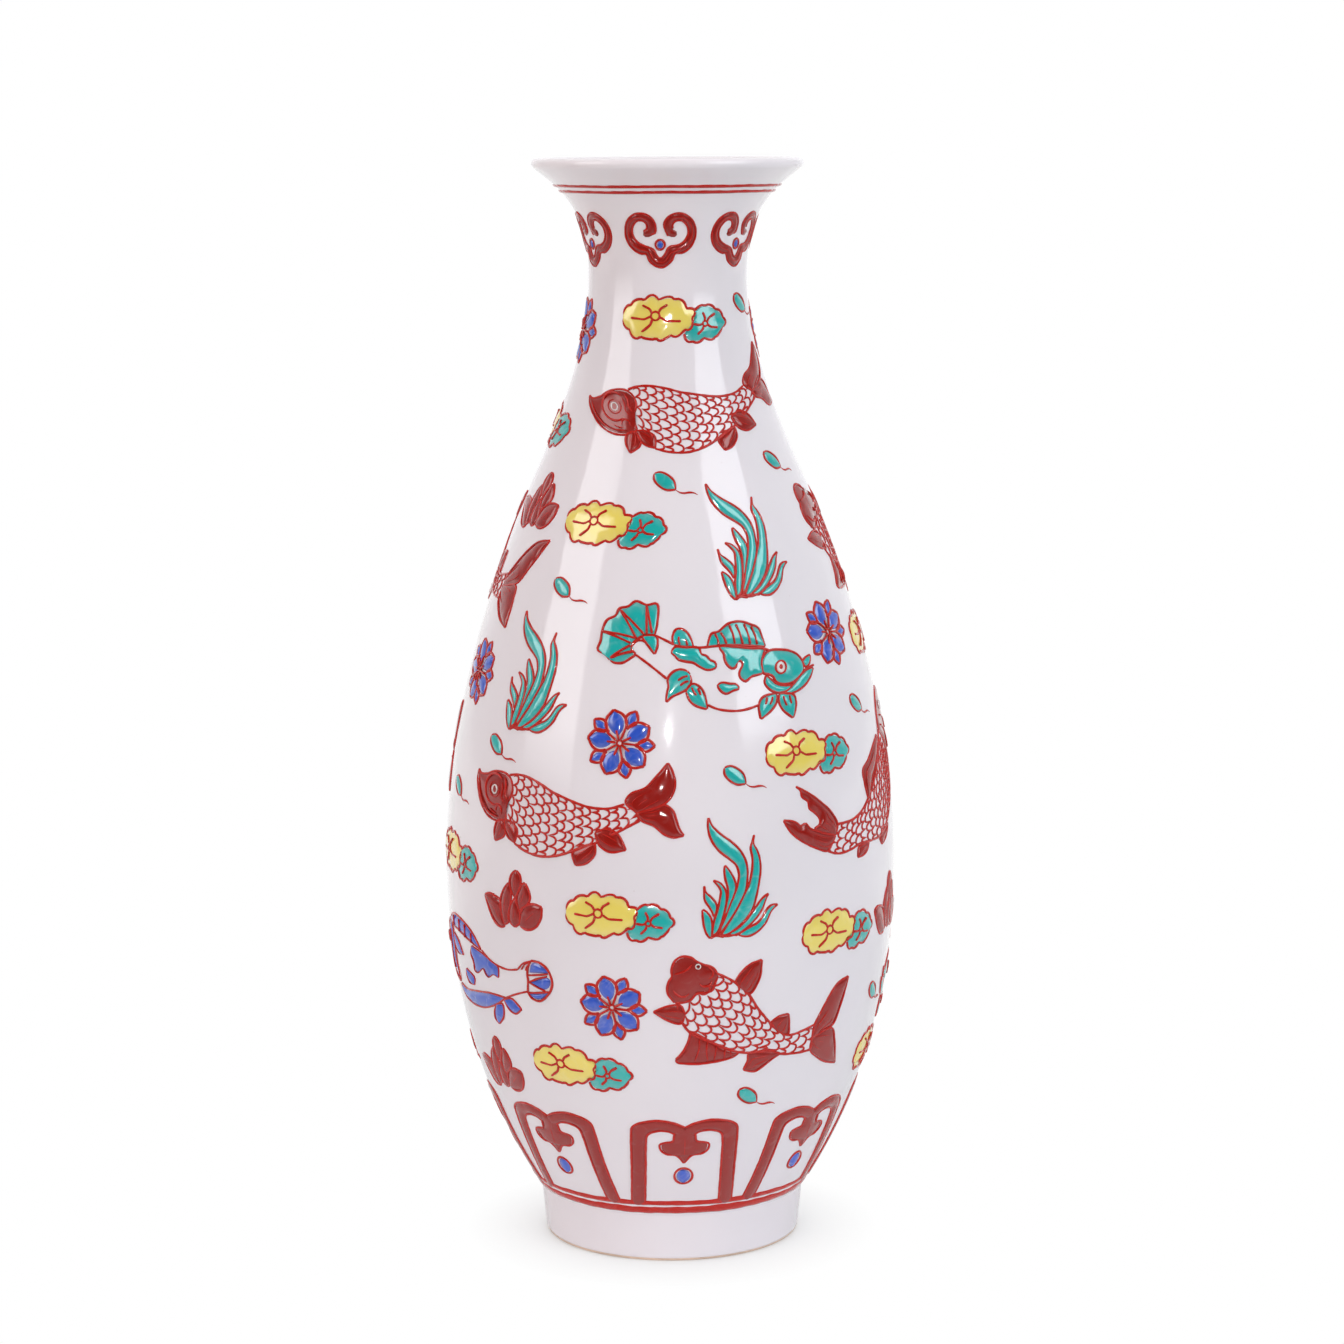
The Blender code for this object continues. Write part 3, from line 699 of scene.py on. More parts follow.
class Drawing:
    """Flat enamel work in millimetres: for each pigment, the tubes that were drawn with it."""

    def __init__(self, settings, seed):
        self.line_width = settings.line_width / MM
        self.line_height = settings.line_height / MM
        self.fill_height = settings.fill_height / MM
        self.top = self.fill_height - OVERLAP
        self.hand = np.random.default_rng(seed)
        self.work = {}

    def keep(self, pigment, rings, closed=False):
        """Adds a batch of tubes to the work of a pigment."""
        self.work.setdefault(pigment, []).append(tubes(rings, closed))

    def line(self, points, pigment="red_line", width=1.0, base=0.0, closed=False, taper=0.0, height=1.0):
        """A brush line through points by an uneven hand; its ends are round or thin out over the taper.

        Its width sways in two waves, or in a few even ones round a closed line, from a random phase.
        """
        line = trace(points, closed)
        total = lengths(line)[-1]
        width = width * self.line_width
        height = height * self.line_height
        count = max(int(total / STROKE_STEP), 3)
        if closed:
            distances = np.linspace(0, total, max(count, 12), endpoint=False)
        else:
            cap = min(width, total / 2.2) * np.array(STROKE_CAP)
            middle = np.linspace(cap[-1], total - cap[-1], count + 1)[1:-1]
            distances = np.concatenate([cap, middle, total - cap[::-1]])
        path = along(line, distances)
        phases = self.hand.uniform(0, 2 * np.pi, 2)
        waves = zip(STROKE_SWAYS, phases)
        sway = sum(share * np.sin(distances * rate + phase) for (share, rate), phase in waves)
        if closed:
            sway = RING_SWAY * np.sin(RING_WAVES * 2 * np.pi * distances / total + phases[0])
        widths = width * (1 + sway)
        if not closed:
            ends = np.minimum(distances, total - distances)
            widths = widths * np.sqrt(np.clip(1 - (1 - np.minimum(ends * 2 / width, 1)) ** 2, 0, 1))
            if taper:
                widths = widths * np.clip(TAPER_TIP + (1 - TAPER_TIP) * ends / taper, 0, 1)
        self.keep(pigment, beads(path[None], widths[None], height * np.minimum(widths / width, 1)[None],
                                 base, closed), closed)

    def fill(self, pigment, edge, other, base=0.0, height=1.0):
        """A field between two edges that share their first and last points."""
        edge, other = trace(edge), trace(other)
        total = max(lengths(edge)[-1], lengths(other)[-1])
        self.field(pigment, edge, other, total, base, height)

    def field(self, pigment, edge, other, total, base, height):
        """A field between two fine lines; its columns crowd a little towards both ends."""
        shares = (1 - np.cos(np.linspace(0, np.pi, max(int(total / FIELD_STEP), 10)))) / 2
        shares = 0.5 * shares + 0.5 * np.linspace(0, 1, len(shares))
        edge = along(edge, shares * lengths(edge)[-1])
        other = along(other, shares * lengths(other)[-1])
        loop = np.concatenate([edge, other[::-1]])
        area = np.cross(loop, np.roll(loop, -1, axis=0)).sum()
        if area > 0:
            edge, other = other, edge
        self.keep(pigment, pool(edge, other, height * self.fill_height, base)[None])

    def patch(self, pigment, edge, other, width=1.0):
        """A filled field with a red line along each of its two edges."""
        self.fill(pigment, edge, other)
        for side in (edge, other):
            self.line(side, width=width)

    def blob(self, pigment, points, split):
        """A field inside one closed red line, filled across between its first point and the split point."""
        line = trace(points, closed=True)
        cut = split * TRACE_SAMPLES
        self.field(pigment, line[: cut + 1], line[cut:][::-1], lengths(line)[-1] / 2, 0.0, 1.0)
        self.line(points, closed=True)

    def dot(self, pigment, centre, radius, base=0.0, height=1.0, aspect=1.0):
        """A small round drop."""
        turn = np.linspace(0, np.pi, DOT_POINTS)
        right = np.stack([np.sin(turn) * radius, np.cos(turn) * radius * aspect], -1)
        middle = np.array(centre)
        self.fill(pigment, middle + right, middle + right * (-1, 1), base, height)

    def ring(self, pigment, centre, radius, width=1.0, base=0.0, aspect=1.0):
        """A small round ring."""
        turn = np.linspace(0, 2 * np.pi, RING_POINTS, endpoint=False)
        points = np.stack([np.cos(turn) * radius, np.sin(turn) * radius * aspect], -1) + centre
        self.line(points, pigment, width, base, closed=True)

    def scales(self, back, belly, pitch, width=0.86):
        """Rows of fish scales between back and belly: in each column, arcs that bulge towards the tail.

        A column's share runs along the body and its lobes run across it; every other column is set off by
        half a lobe. An arc's point at a is a half lobes across from the lobe's middle and
        (1 - |a|^3)^0.55 pitches along.
        """
        back, belly = trace(back), trace(belly)
        total = (lengths(back)[-1] + lengths(belly)[-1]) / 2
        columns = int(round(total / pitch))
        arcs = []
        for column in range(columns):
            share = (column + 0.15) / columns
            ends = [along(edge, np.array([share * lengths(edge)[-1]]))[0] for edge in (back, belly)]
            lobes = max(int(round(np.linalg.norm(ends[0] - ends[1]) / (pitch * 1.02))), 2)
            starts = np.arange(lobes + column % 2) - 0.5 * (column % 2)
            arcs.append(np.stack([np.full(len(starts), share), starts / lobes, (starts + 1) / lobes], -1))
        arcs = np.concatenate(arcs)
        arcs = arcs + self.hand.normal(0, 1, arcs.shape) * (0.08 / columns, 0.008, 0.008)
        a = np.sin(np.linspace(-1, 1, 13) * np.pi / 2)
        low, high = np.clip(arcs[:, 1:2], 0, 1), np.clip(arcs[:, 2:3], 0, 1)
        share = np.clip(arcs[:, :1] + (1 - np.abs(a) ** 3) ** 0.55 * 1.02 / columns, 0, 1)
        rise = (low + high) / 2 + a * (high - low) / 2
        upper = along(back, share * lengths(back)[-1])
        lower = along(belly, share * lengths(belly)[-1])
        paths = upper * (1 - rise)[..., None] + lower * rise[..., None]
        widths = width * self.line_width * np.sqrt(np.clip(1 - np.abs(a) ** 8, 0, 1)) * np.ones(share.shape)
        self.keep("red_line", beads(paths, widths, 0.9 * self.line_height * np.ones(share.shape), 0.0))


def mirrored(points):
    """Points flipped left to right."""
    return [(-x, y) for x, y in points]


def spun(side, degrees):
    """A line and its mirror image across the x axis, both turned about the middle."""
    turn = math.radians(degrees)
    c, s = math.cos(turn), math.sin(turn)
    return [[(x * c - y * way * s, x * s + y * way * c) for x, y in side] for way in (1, -1)]


def hand_turn(drawing, spread):
    """A small turn of the hand, in degrees."""
    return float(drawing.hand.uniform(-spread, spread))


# Motifs


BAND_SAMPLES = 120


def ruyi_head(settings):
    """A ruyi head: one band from curl to curl with brighter edges and a painted highlight along its middle,
    and a blue dot with a red ring.
    """
    drawing = Drawing(settings, 11)
    half = [(0, -6.2), (1.8, -5.4), (3.1, -3.4), (4.0, -2.0), (6.2, -1.8), (8.7, -0.2), (10.1, 2.1),
            (10.4, 4.6), (9.7, 7.0), (7.9, 8.8), (6.1, 9.1), (4.2, 8.5), (3.0, 7.0), (2.7, 5.2),
            (3.2, 3.9), (4.4, 3.5), (5.4, 4.1)]
    widths = [3.1, 3.0, 2.9, 2.8, 2.9, 2.8, 2.6, 2.5, 2.6, 2.6, 2.5, 2.6, 2.7, 2.9, 3.0, 3.0, 2.6]
    path = trace(mirrored(half)[:0:-1] + half)
    marks = lengths(trace(half))
    spread = np.interp(np.abs(lengths(path) - lengths(path)[-1] / 2), marks[::TRACE_SAMPLES], widths)
    shares = np.linspace(0, 1, BAND_SAMPLES) * lengths(path)[-1]
    left = left_of(np.gradient(along(path, shares), axis=0))
    half_width = np.interp(shares, lengths(path), spread) / 2
    ends = np.minimum(shares, shares[-1] - shares)
    half_width = half_width * np.sqrt(np.clip(1 - (1 - np.minimum(ends / 1.2, 1)) ** 2, 0, 1))
    middle = along(path, shares)
    edge, other = middle + left * half_width[:, None], middle - left * half_width[:, None]
    drawing.keep("iron_red", pool(edge, other, drawing.fill_height, 0.0)[None])
    for side in (edge, other):
        drawing.line(side[::5], width=0.8, base=0.05)
    # A thin line of line red along the middle of the band is a painted highlight on its crest
    drawing.line(middle[8:-8:6], width=0.45, base=drawing.top, height=0.4, taper=6)
    drawing.dot("blue", (0, -0.3), 1.05, aspect=1.15)
    drawing.ring("red_line", (0, -0.3), 1.5, 0.9, aspect=1.1)
    return drawing


def lappet(settings):
    """A lappet: a broad arch on two legs, a hanging leaf in it, and a blue dot with a red ring."""
    drawing = Drawing(settings, 12)
    outer = [(16.6, 0), (17.0, 14), (17.5, 28), (17.3, 30.9), (15.6, 32.5), (12.4, 33.6), (8, 34),
             (3.5, 33), (0, 31.3)]
    inner = [(12.2, 0), (12.4, 14), (12.5, 26), (12.1, 28.2), (10.9, 29.2), (8, 30), (4.8, 29.6),
             (3.4, 28.7), (0, 27.4)]
    for side in (1, -1):
        out = [(side * x, y - 2 * (y == 0)) for x, y in outer]
        into = [(side * x, y - 2 * (y == 0)) for x, y in inner]
        foot = [(side * 14.4, -2.6)]
        drawing.fill("iron_red", foot + out, foot + into + [(0, 31.3)])
        drawing.line(out, width=1.0)
        drawing.line(into[:-1], width=1.0)
    leaf = [(0, 31.2), (3.3, 29.5), (3.5, 27.8), (3.9, 25.8), (6.4, 25.2), (8, 24.4), (7.6, 22),
            (5.7, 20.4), (2.7, 20), (0, 16.6)]
    drawing.fill("iron_red", leaf, mirrored(leaf))
    for side in (leaf[1:], mirrored(leaf[1:])):
        drawing.line(side, width=0.9)
    drawing.line([(0, 28), (0.1, 24), (0, 19.5)], width=0.5, base=drawing.top, height=0.5, taper=3)
    drawing.dot("blue", (0, 11), 2.45, aspect=1.16)
    drawing.ring("red_line", (0, 11), 2.95, 0.95, aspect=1.15)
    return drawing


def red_fin(drawing, edge, other, veins=2, reach=0.7):
    """A red fin with its outline and a few thin veins from its root some way towards its tip."""
    drawing.patch("iron_red", edge, other, width=0.85)
    edge, other = trace(edge), trace(other)
    shares = np.linspace(0.14, reach, 6)
    sides = [along(side, shares * lengths(side)[-1]) for side in (edge, other)]
    for vein in np.linspace(0, 1, veins + 2)[1:-1]:
        drawing.line(sides[0] * (1 - vein) + sides[1] * vein, width=0.42, base=drawing.top, height=0.4,
                     taper=2)


def carp(settings):
    """A swimming carp that faces left: red head, fins and tail, and scales between back and belly."""
    drawing = Drawing(settings, 21)
    top = [(-45.4, 9.9), (-44.2, 8.7), (-40.5, 8.9), (-36.5, 10.2), (-32.5, 10.6), (-29.3, 9.9),
           (-27.2, 7.8), (-26.8, 4.6), (-28.6, 1.6), (-30.2, 0.2)]
    low = [(-45.4, 9.9), (-46, 6.8), (-45, 2.8), (-42.6, -1.2), (-39, -4.1), (-34.6, -5.3), (-31, -5),
           (-29.3, -4), (-29.5, -1.8), (-30.2, 0.2)]
    drawing.patch("iron_red", top, low)
    above = drawing.top
    eye = np.array((-34.9, 4.7))
    for radius, first, last, width in ((5.0, 40, 300, 0.95), (2.5, 80, 400, 0.55)):
        turns = np.radians(np.linspace(first, last, 9))
        drawing.line(eye + radius * np.stack([np.cos(turns), np.sin(turns)], -1), width=width, base=above,
                     taper=2)
    for crease, width in (
        ([(-44.2, 8.0), (-43.6, 4.0), (-41.2, -0.4), (-37.2, -3.2), (-32.8, -4.0)], 0.7),
        ([(-30.2, 9.0), (-29.4, 6.6), (-29.6, 4.0), (-28.9, 2.0)], 0.85),
        ([(-31.2, 7.4), (-30.9, 5.0), (-31.2, 2.8), (-30.2, 1.0)], 0.6),
        ([(-34.0, -2.2), (-33.6, -0.6), (-32.2, -0.2), (-31.2, -1.0), (-31.0, -2.8)], 0.75),
        ([(-37.0, -1.6), (-35.4, -2.6), (-33.6, -3.0)], 0.6),
    ):
        drawing.line(crease, width=width, base=above, taper=1.5)
    drawing.ring("white", eye, 1.2, 0.55, above, 1.15)
    red_fin(drawing, [(-30.6, -4.6), (-33.4, -5.2), (-34.8, -8.4), (-34.3, -11.8)],
            [(-30.6, -4.6), (-29.0, -6.8), (-29.8, -9.6), (-31.8, -10.9), (-34.3, -11.8)])
    red_fin(drawing, [(-29.6, -4.4), (-26.6, -4.8), (-23.8, -7.2), (-24.9, -11.2)],
            [(-29.6, -4.4), (-29.4, -7.8), (-27.6, -10.2), (-24.9, -11.2)])
    back = [(-28.4, 10.0), (-25, 10.6), (-20, 10.2), (-15, 8.6), (-10, 6.4), (-5, 4.8), (0, 3.3),
            (5, 2.5), (10, 2.7), (14.6, 4.2)]
    belly = [(-25.2, -11.4), (-21, -13.2), (-16, -14.3), (-11, -14.2), (-6, -13), (0, -10.8), (5, -8.8),
             (9, -6.6), (13, -4.6), (16.5, -2.6), (19.8, -0.8)]
    drawing.line(back)
    drawing.line(belly)
    drawing.scales([(-27, 9.4)] + back[1:-1] + [(17, 4.6)], [(-29.2, -4.6)] + belly[:-1] + [(19.4, -0.4)],
                   3.2, 0.88)
    root = (18.6, 1.6)
    red_fin(drawing, [root, (14.8, 4.8), (16.2, 7.4), (21, 9.6), (24.4, 13.4), (27.6, 17.4)],
            [root, (23.6, 3.0), (27.2, 4.4), (29.6, 7.2), (30.3, 10.8), (29.4, 14.4), (27.6, 17.4)],
            3, 0.42)
    red_fin(drawing,
            [root, (23.6, 2.8), (27.2, 4.2), (30.0, 2.4), (31.3, -0.8), (32.3, -3.4), (33.8, -5.6)],
            [root, (20.2, -0.9), (24.0, -2.4), (27.6, -5.2), (30.6, -6.2), (33.8, -5.6)], 3, 0.42)
    red_fin(drawing, [(5.2, -5.2), (8.8, -3.9), (12.8, -5.4), (15.6, -10.3)],
            [(5.2, -5.2), (6.8, -9.2), (10.4, -11.2), (15.6, -10.3)])
    red_fin(drawing, [(5.4, -8.6), (5.4, -12.2), (2.2, -15.4), (-1.2, -16.1)],
            [(5.4, -8.6), (1.2, -9.8), (-2.4, -12.2), (-1.2, -16.1)])
    return drawing


def diving_carp(settings):
    """A diving carp: broad head low at the left, ray fins and a tail raised at the right."""
    drawing = Drawing(settings, 22)
    outer = [(-22.9, 4.3), (-25.3, 7.5), (-25.4, 10), (-24.9, 11.8), (-24.1, 12.9), (-24.3, 14.7),
             (-24, 16.7), (-22.9, 18.7), (-20.7, 19.7), (-18, 19.2), (-16.6, 18.1), (-13.8, 16.7),
             (-11.4, 15.9), (-10.1, 14.5), (-9.4, 12.9)]
    inner = [(-22.9, 4.3), (-20.3, 4.3), (-17.9, 5), (-16, 7.2), (-13.1, 7.4), (-11.1, 8.1), (-10.2, 10.6),
             (-9.4, 12.9)]
    drawing.patch("iron_red", outer, inner)
    above = drawing.top
    for crease in (
        [(-12.9, 16.3), (-11.2, 14.8), (-11.2, 13), (-12.5, 12.1)],
        [(-15.4, 10.9), (-14.4, 9.8), (-13.1, 9.7), (-11.8, 10.3), (-11.3, 11.6)],
        [(-23.7, 8.7), (-22.1, 7), (-20, 6.4), (-18.4, 7.4)],
        [(-23.7, 13.9), (-21.5, 14.4), (-19.1, 15.6), (-17.8, 17.2)],
    ):
        drawing.line(crease, width=0.85, base=above, taper=1.5)
    drawing.ring("white", (-15.9, 16.4), 0.78, 0.42, above)
    red_fin(drawing, [(-19.6, 0.4), (-21, 3.3), (-25.4, 3.0), (-29.6, 1.2)],
            [(-19.6, 0.4), (-20.4, -2.9), (-25, -1.8), (-29.6, 1.2)])
    back = [(-10, 13.8), (-6.6, 12.2), (-3.5, 10.2), (1, 6), (5, 0.2), (9.5, -5), (13, -8.4), (17, -10.1),
            (22, -9.4), (27.2, -8)]
    belly = [(-22.2, 3.6), (-20.8, -1.6), (-17.2, -6.4), (-10, -10), (-1, -14), (4, -14.6), (9, -14.2),
             (14, -16.4), (20, -17.1), (26.4, -17)]
    drawing.line(back)
    drawing.line(belly)
    drawing.scales([(-10.6, 12.4)] + back[1:-1] + [(27.4, -9)], [(-21.6, 3.8)] + belly[1:], 3.4, 0.9)
    red_fin(drawing, [(-1.4, 8.3), (-3.5, 10.4), (0.8, 15.8), (5.3, 17.2)],
            [(-1.4, 8.3), (1.4, 6), (4.6, 10.8), (5.3, 17.2)], 3)
    red_fin(drawing, [(12.4, -7.8), (9.4, -5), (12, -3), (15.9, -2.4)],
            [(12.4, -7.8), (16.2, -9.9), (16.5, -6.4), (15.9, -2.4)])
    drawing.patch("iron_red",
                  [(-21.5, -15.6), (-19.3, -12.8), (-17.7, -8.5), (-17.1, -6.1), (-12, -8.8), (-7, -11.8),
                   (-1, -14.1)],
                  [(-21.5, -15.6), (-20.8, -16.6), (-18.5, -17.1), (-13.1, -17.3), (-10.2, -17),
                   (-6.2, -16.4), (-3.2, -15.6), (-1, -14.1)])
    for ray in (
        [(-14.5, -8.1), (-14.3, -11.3), (-15.4, -16.2)], [(-11.7, -9), (-11.9, -12.5), (-11.2, -16.4)],
        [(-8.7, -10.6), (-8.9, -13.8), (-9.2, -16.5)], [(-5.8, -12), (-5.9, -13.4), (-6, -15.9)],
        [(-3.8, -13), (-3.9, -14.2), (-3.7, -15.2)],
    ):
        drawing.line(ray, width=0.7, base=above, taper=2)
    red_fin(drawing, [(1, -20.6), (2.2, -17.4), (2.4, -14.7), (7, -14.8), (11, -15.2), (14, -16.2)],
            [(1, -20.6), (5, -21.6), (8, -20), (11, -17.8), (14, -16.2)])
    root = (26.4, -12.6)
    red_fin(drawing, [root, (27, -8), (29.2, -4.4), (32.4, 0.4), (36.4, 4.6), (42.1, 6.2)],
            [root, (32.6, -10.8), (36, -9.6), (39, -3.4), (40.8, 1.4), (42.1, 6.2)], 3, 0.42)
    red_fin(drawing, [root, (32.6, -11), (36, -11.2), (37.6, -15), (38.6, -19), (39.6, -24.6)],
            [root, (26.2, -17), (29.4, -20.2), (34, -23), (39.6, -24.6)], 3, 0.42)
    return drawing


def leaping_carp(settings):
    """A leaping carp: tail low at the left, the body bent upwards to a head at the upper right."""
    drawing = Drawing(settings, 23)
    back = [(-18.9, -1.9), (-14, -1.9), (-9, -1.2), (-4, 0.9), (1, 4.4), (6, 8.6), (11, 13.8), (16, 20),
            (18.4, 23.6)]
    belly = [(-24.1, -9.9), (-21.4, -11), (-18.6, -11.5), (-13.2, -11.2), (-7, -10), (0, -10.3),
             (8, -9.9), (15, -7), (21, -2.6), (26.6, 3.6), (31, 10.4)]
    drawing.line(back)
    drawing.line(belly)
    drawing.scales(back[::-1], belly[::-1], 3.2, 0.9)
    cheek = [(18.2, 23.4), (20.4, 29.6), (25, 34.4), (31, 36.2)]
    jaw = [(18.2, 23.4), (23.4, 20.4), (28, 15.6), (31, 10.4), (34.6, 16.6), (36.8, 24.6), (36, 31.6),
           (31, 36.2)]
    drawing.patch("iron_red", cheek, jaw)
    above = drawing.top
    drawing.line([(21.6, 24.6), (26.6, 22.6), (30.6, 18.4), (32.2, 15.2)], width=0.7, base=above)
    drawing.line([(24.2, 27.4), (29.4, 25.6), (33.4, 21.6)], width=0.6, base=above)
    drawing.ring("white", (27.6, 30.2), 1.35, 0.6, above)
    red_fin(drawing, [(0, 3.2), (-1.4, 8.6), (-1.6, 13), (3.4, 15.8), (8.6, 19.2), (14.6, 22.4)],
            [(0, 3.2), (5.2, 8), (10.2, 13.2), (14.6, 22.4)], 3)
    root = (-20.2, -5.4)
    red_fin(drawing, [root, (-18.9, -1.7), (-21.2, 2.3), (-25.2, 6), (-30.2, 9.7), (-34.8, 12.2)],
            [root, (-25, -4), (-29.2, -2.2), (-27.1, -1), (-26.7, 0.6), (-28.5, 3), (-30.6, 4.6),
             (-30.9, 7), (-33, 8.7), (-33.2, 10.6), (-34.8, 12.2)], 3, 0.42)
    red_fin(drawing,
            [root, (-25, -4.2), (-29.4, -2.5), (-31.1, -1.6), (-32.7, 0.1), (-34.8, -0.5), (-36.1, 0.7),
             (-38.4, 1.6), (-41, 1.9)],
            [root, (-21.9, -7.7), (-24.1, -9.9), (-29.7, -8.1), (-34.9, -5.3), (-38.8, -2), (-41, 1.9)],
            3, 0.42)
    red_fin(drawing, [(-1.6, -10.4), (-5.2, -10.6), (-8.6, -11.4), (-9.2, -14.3)],
            [(-1.6, -10.4), (-3.2, -13), (-6, -14.2), (-9.2, -14.3)])
    red_fin(drawing, [(16.4, -7.2), (11.8, -8.8), (7, -10.4), (8.8, -13.1)],
            [(16.4, -7.2), (14.8, -10.2), (12, -12.2), (8.8, -13.1)])
    return drawing


def mandarin_fish(settings):
    """A teal mandarin fish that faces right: fan tail, spined back fin and teal patches on a white body."""
    drawing = Drawing(settings, 31)
    teal = "teal"
    above = drawing.top
    fan = [(-15.6, 8.3), (-14.5, 12), (-14.2, 18.2), (-17.5, 17.8), (-20.8, 19), (-23.6, 17.2),
           (-26.4, 16.5), (-27.8, 14.2), (-30.8, 12.6), (-32.6, 9), (-33.2, 6), (-34.4, 2.9), (-32, 1.7),
           (-30.4, 0)]
    root = [(-15.6, 8.3), (-18.4, 8), (-21, 6.9), (-22.8, 5.2), (-23.2, 3.4), (-22, 2), (-23.6, 0.7),
            (-26.4, -0.9), (-29, -0.9), (-30.4, 0)]
    drawing.patch(teal, fan, root)
    for tip, feet in (
        ((-17.5, 17.4), ((-18, 8.3), (-16.3, 8.6))),
        ((-26, 16), ((-21.4, 7), (-18.7, 8.1))),
        ((-32.4, 8.9), ((-21.6, 7.1), (-23.2, 5.4))),
        ((-30.2, 0.5), ((-23.3, 4.8), (-22.4, 2.9))),
    ):
        for foot in feet:
            middle = ((tip[0] + foot[0]) / 2, (tip[1] + foot[1]) / 2 + 0.25)
            drawing.line([foot, middle, tip], width=0.95, base=above)
    drawing.patch(teal, [(-19.6, 7.7), (-17.2, 8.1), (-15, 7.8), (-14.8, 5), (-15.9, 2)],
                  [(-19.6, 7.7), (-18.4, 5.6), (-17.1, 3.8), (-15.9, 2)])
    drawing.line([(-22.8, 4.8), (-21.4, 6.1), (-19.8, 6.4), (-18.6, 5.8)], width=0.8)
    drawing.line([(-15, 7.9), (-12.4, 6.6), (-9.6, 5.1)])
    drawing.line([(-3.8, 4.1), (-1, 4), (2, 4.2), (6, 4.4), (12, 4.2), (17, 3.6), (22, 1.9)])
    spine = [(-9.6, 5), (-9.9, 7.4), (-8.8, 9.9), (-7.2, 10.2), (-5.4, 9.1), (-4.1, 6.6), (-3.6, 4.2)]
    drawing.patch(teal, spine, [(-9.6, 5), (-6.6, 4.4), (-3.6, 4.2)])
    drawing.line([(-7.9, 7.6), (-8.1, 6.2), (-7.7, 5)], width=0.8, base=above)
    drawing.line([(-5.9, 6.8), (-5.6, 5.6), (-5.4, 4.7)], width=0.8, base=above)
    spines = [(1, 4.2), (1.7, 6.6), (2.5, 8.3), (5, 9), (7, 10.6), (9, 11.6), (12.6, 11.8), (16, 10.6),
              (18.5, 9.4), (19.7, 6), (20.6, 3.2)]
    drawing.patch(teal, spines, [(1, 4.2), (6, 4.4), (12, 4.2), (17, 3.6), (20.6, 3.2)])
    for tip, foot in (((3.6, 8.2), (4.6, 4.6)), ((5.4, 8.6), (7.2, 4.7)), ((8.4, 10.8), (10, 4.7)),
                      ((10.6, 11), (12.6, 4.5)), ((13.4, 11), (15.2, 4.3)), ((15.8, 10), (17.6, 4))):
        drawing.line([tip, (tip[0] * 0.45 + foot[0] * 0.55 + 0.2, tip[1] * 0.45 + foot[1] * 0.55), foot],
                     width=0.85, base=above)
    for edge, split in (
        ([(-10.4, 2.4), (-9.4, 4.3), (-6, 4.2), (-1.7, 3.9), (-1.2, 2), (0.6, 1.3), (1.5, 0), (3.2, -0.9),
          (3.2, -2.5), (0.6, -3.2), (-2, -2), (-3.8, -0.8), (-6, -0.4), (-8.6, 0.4), (-9.4, 1.5)], 8),
        ([(4.9, 3.9), (10, 3.8), (15, 3.1), (20.4, 2.3), (19.3, 0), (18.9, -2.6), (19, -5), (17, -5.6),
          (15, -6), (13, -7.4), (11.2, -6), (11, -4.4), (12.3, -2), (11.5, -0.7), (10.4, -1.1), (10, -2.6),
          (8.8, -3.1), (7.1, -1.8), (6.3, 0.2), (6.2, 1.8)], 6),
        ([(3.7, -8.2), (5, -7.4), (8, -7.9), (9.5, -8), (10.6, -9.5), (8.8, -10), (6.2, -11), (4.5, -9.9)],
         4),
        ([(19.2, -1.6), (20.3, 0.7), (22.4, 1.9), (25.4, 1.9), (30, 1.1), (33.3, -0.6), (35, -3),
          (34.7, -5.4), (33.2, -7.4), (30.4, -9), (26.4, -9.2), (23.8, -8.2), (22.8, -6.5), (21.2, -5.7),
          (19.4, -5.2)], 7),
    ):
        drawing.blob(teal, edge, split)
    drawing.dot("white", (25.7, -3.8), 1.95, above, 0.7)
    drawing.ring("red_line", (25.7, -3.8), 2.0, 0.8, above + 0.1)
    drawing.dot("red_line", (25.6, -3.7), 0.85, above + 0.3, 0.7)
    for edge, other in (
        ([(20.3, -6), (19.6, -8.2), (21.4, -10.6), (24.2, -11.8), (27.4, -11.6), (30.2, -9.8)],
         [(20.3, -6), (22, -7.4), (24, -9), (27, -9.8), (30.2, -9.8)]),
        ([(24.6, -12), (27.6, -12.5), (31, -12.2), (35, -10.6), (38, -8), (39.5, -5.2)],
         [(24.6, -12), (28, -11.3), (30.6, -9.6), (34, -6.9), (37, -5.5), (39.5, -5.2)]),
        ([(34.9, -2.8), (36.2, -1.7), (38.6, -1)], [(34.9, -2.8), (36.2, -4.7), (37.9, -3.8), (38.6, -1)]),
    ):
        drawing.patch(teal, edge, other)
    drawing.line([(34.8, -6), (37, -5.1), (40, -4.4)], base=0.1)
    drawing.line([(-22, 1.9), (-17.4, -1.6), (-12.4, -5.8)])
    drawing.line([(0, -14.2), (3, -15.6), (7, -16.4), (11, -16.5), (15, -15.8), (17.6, -15)])
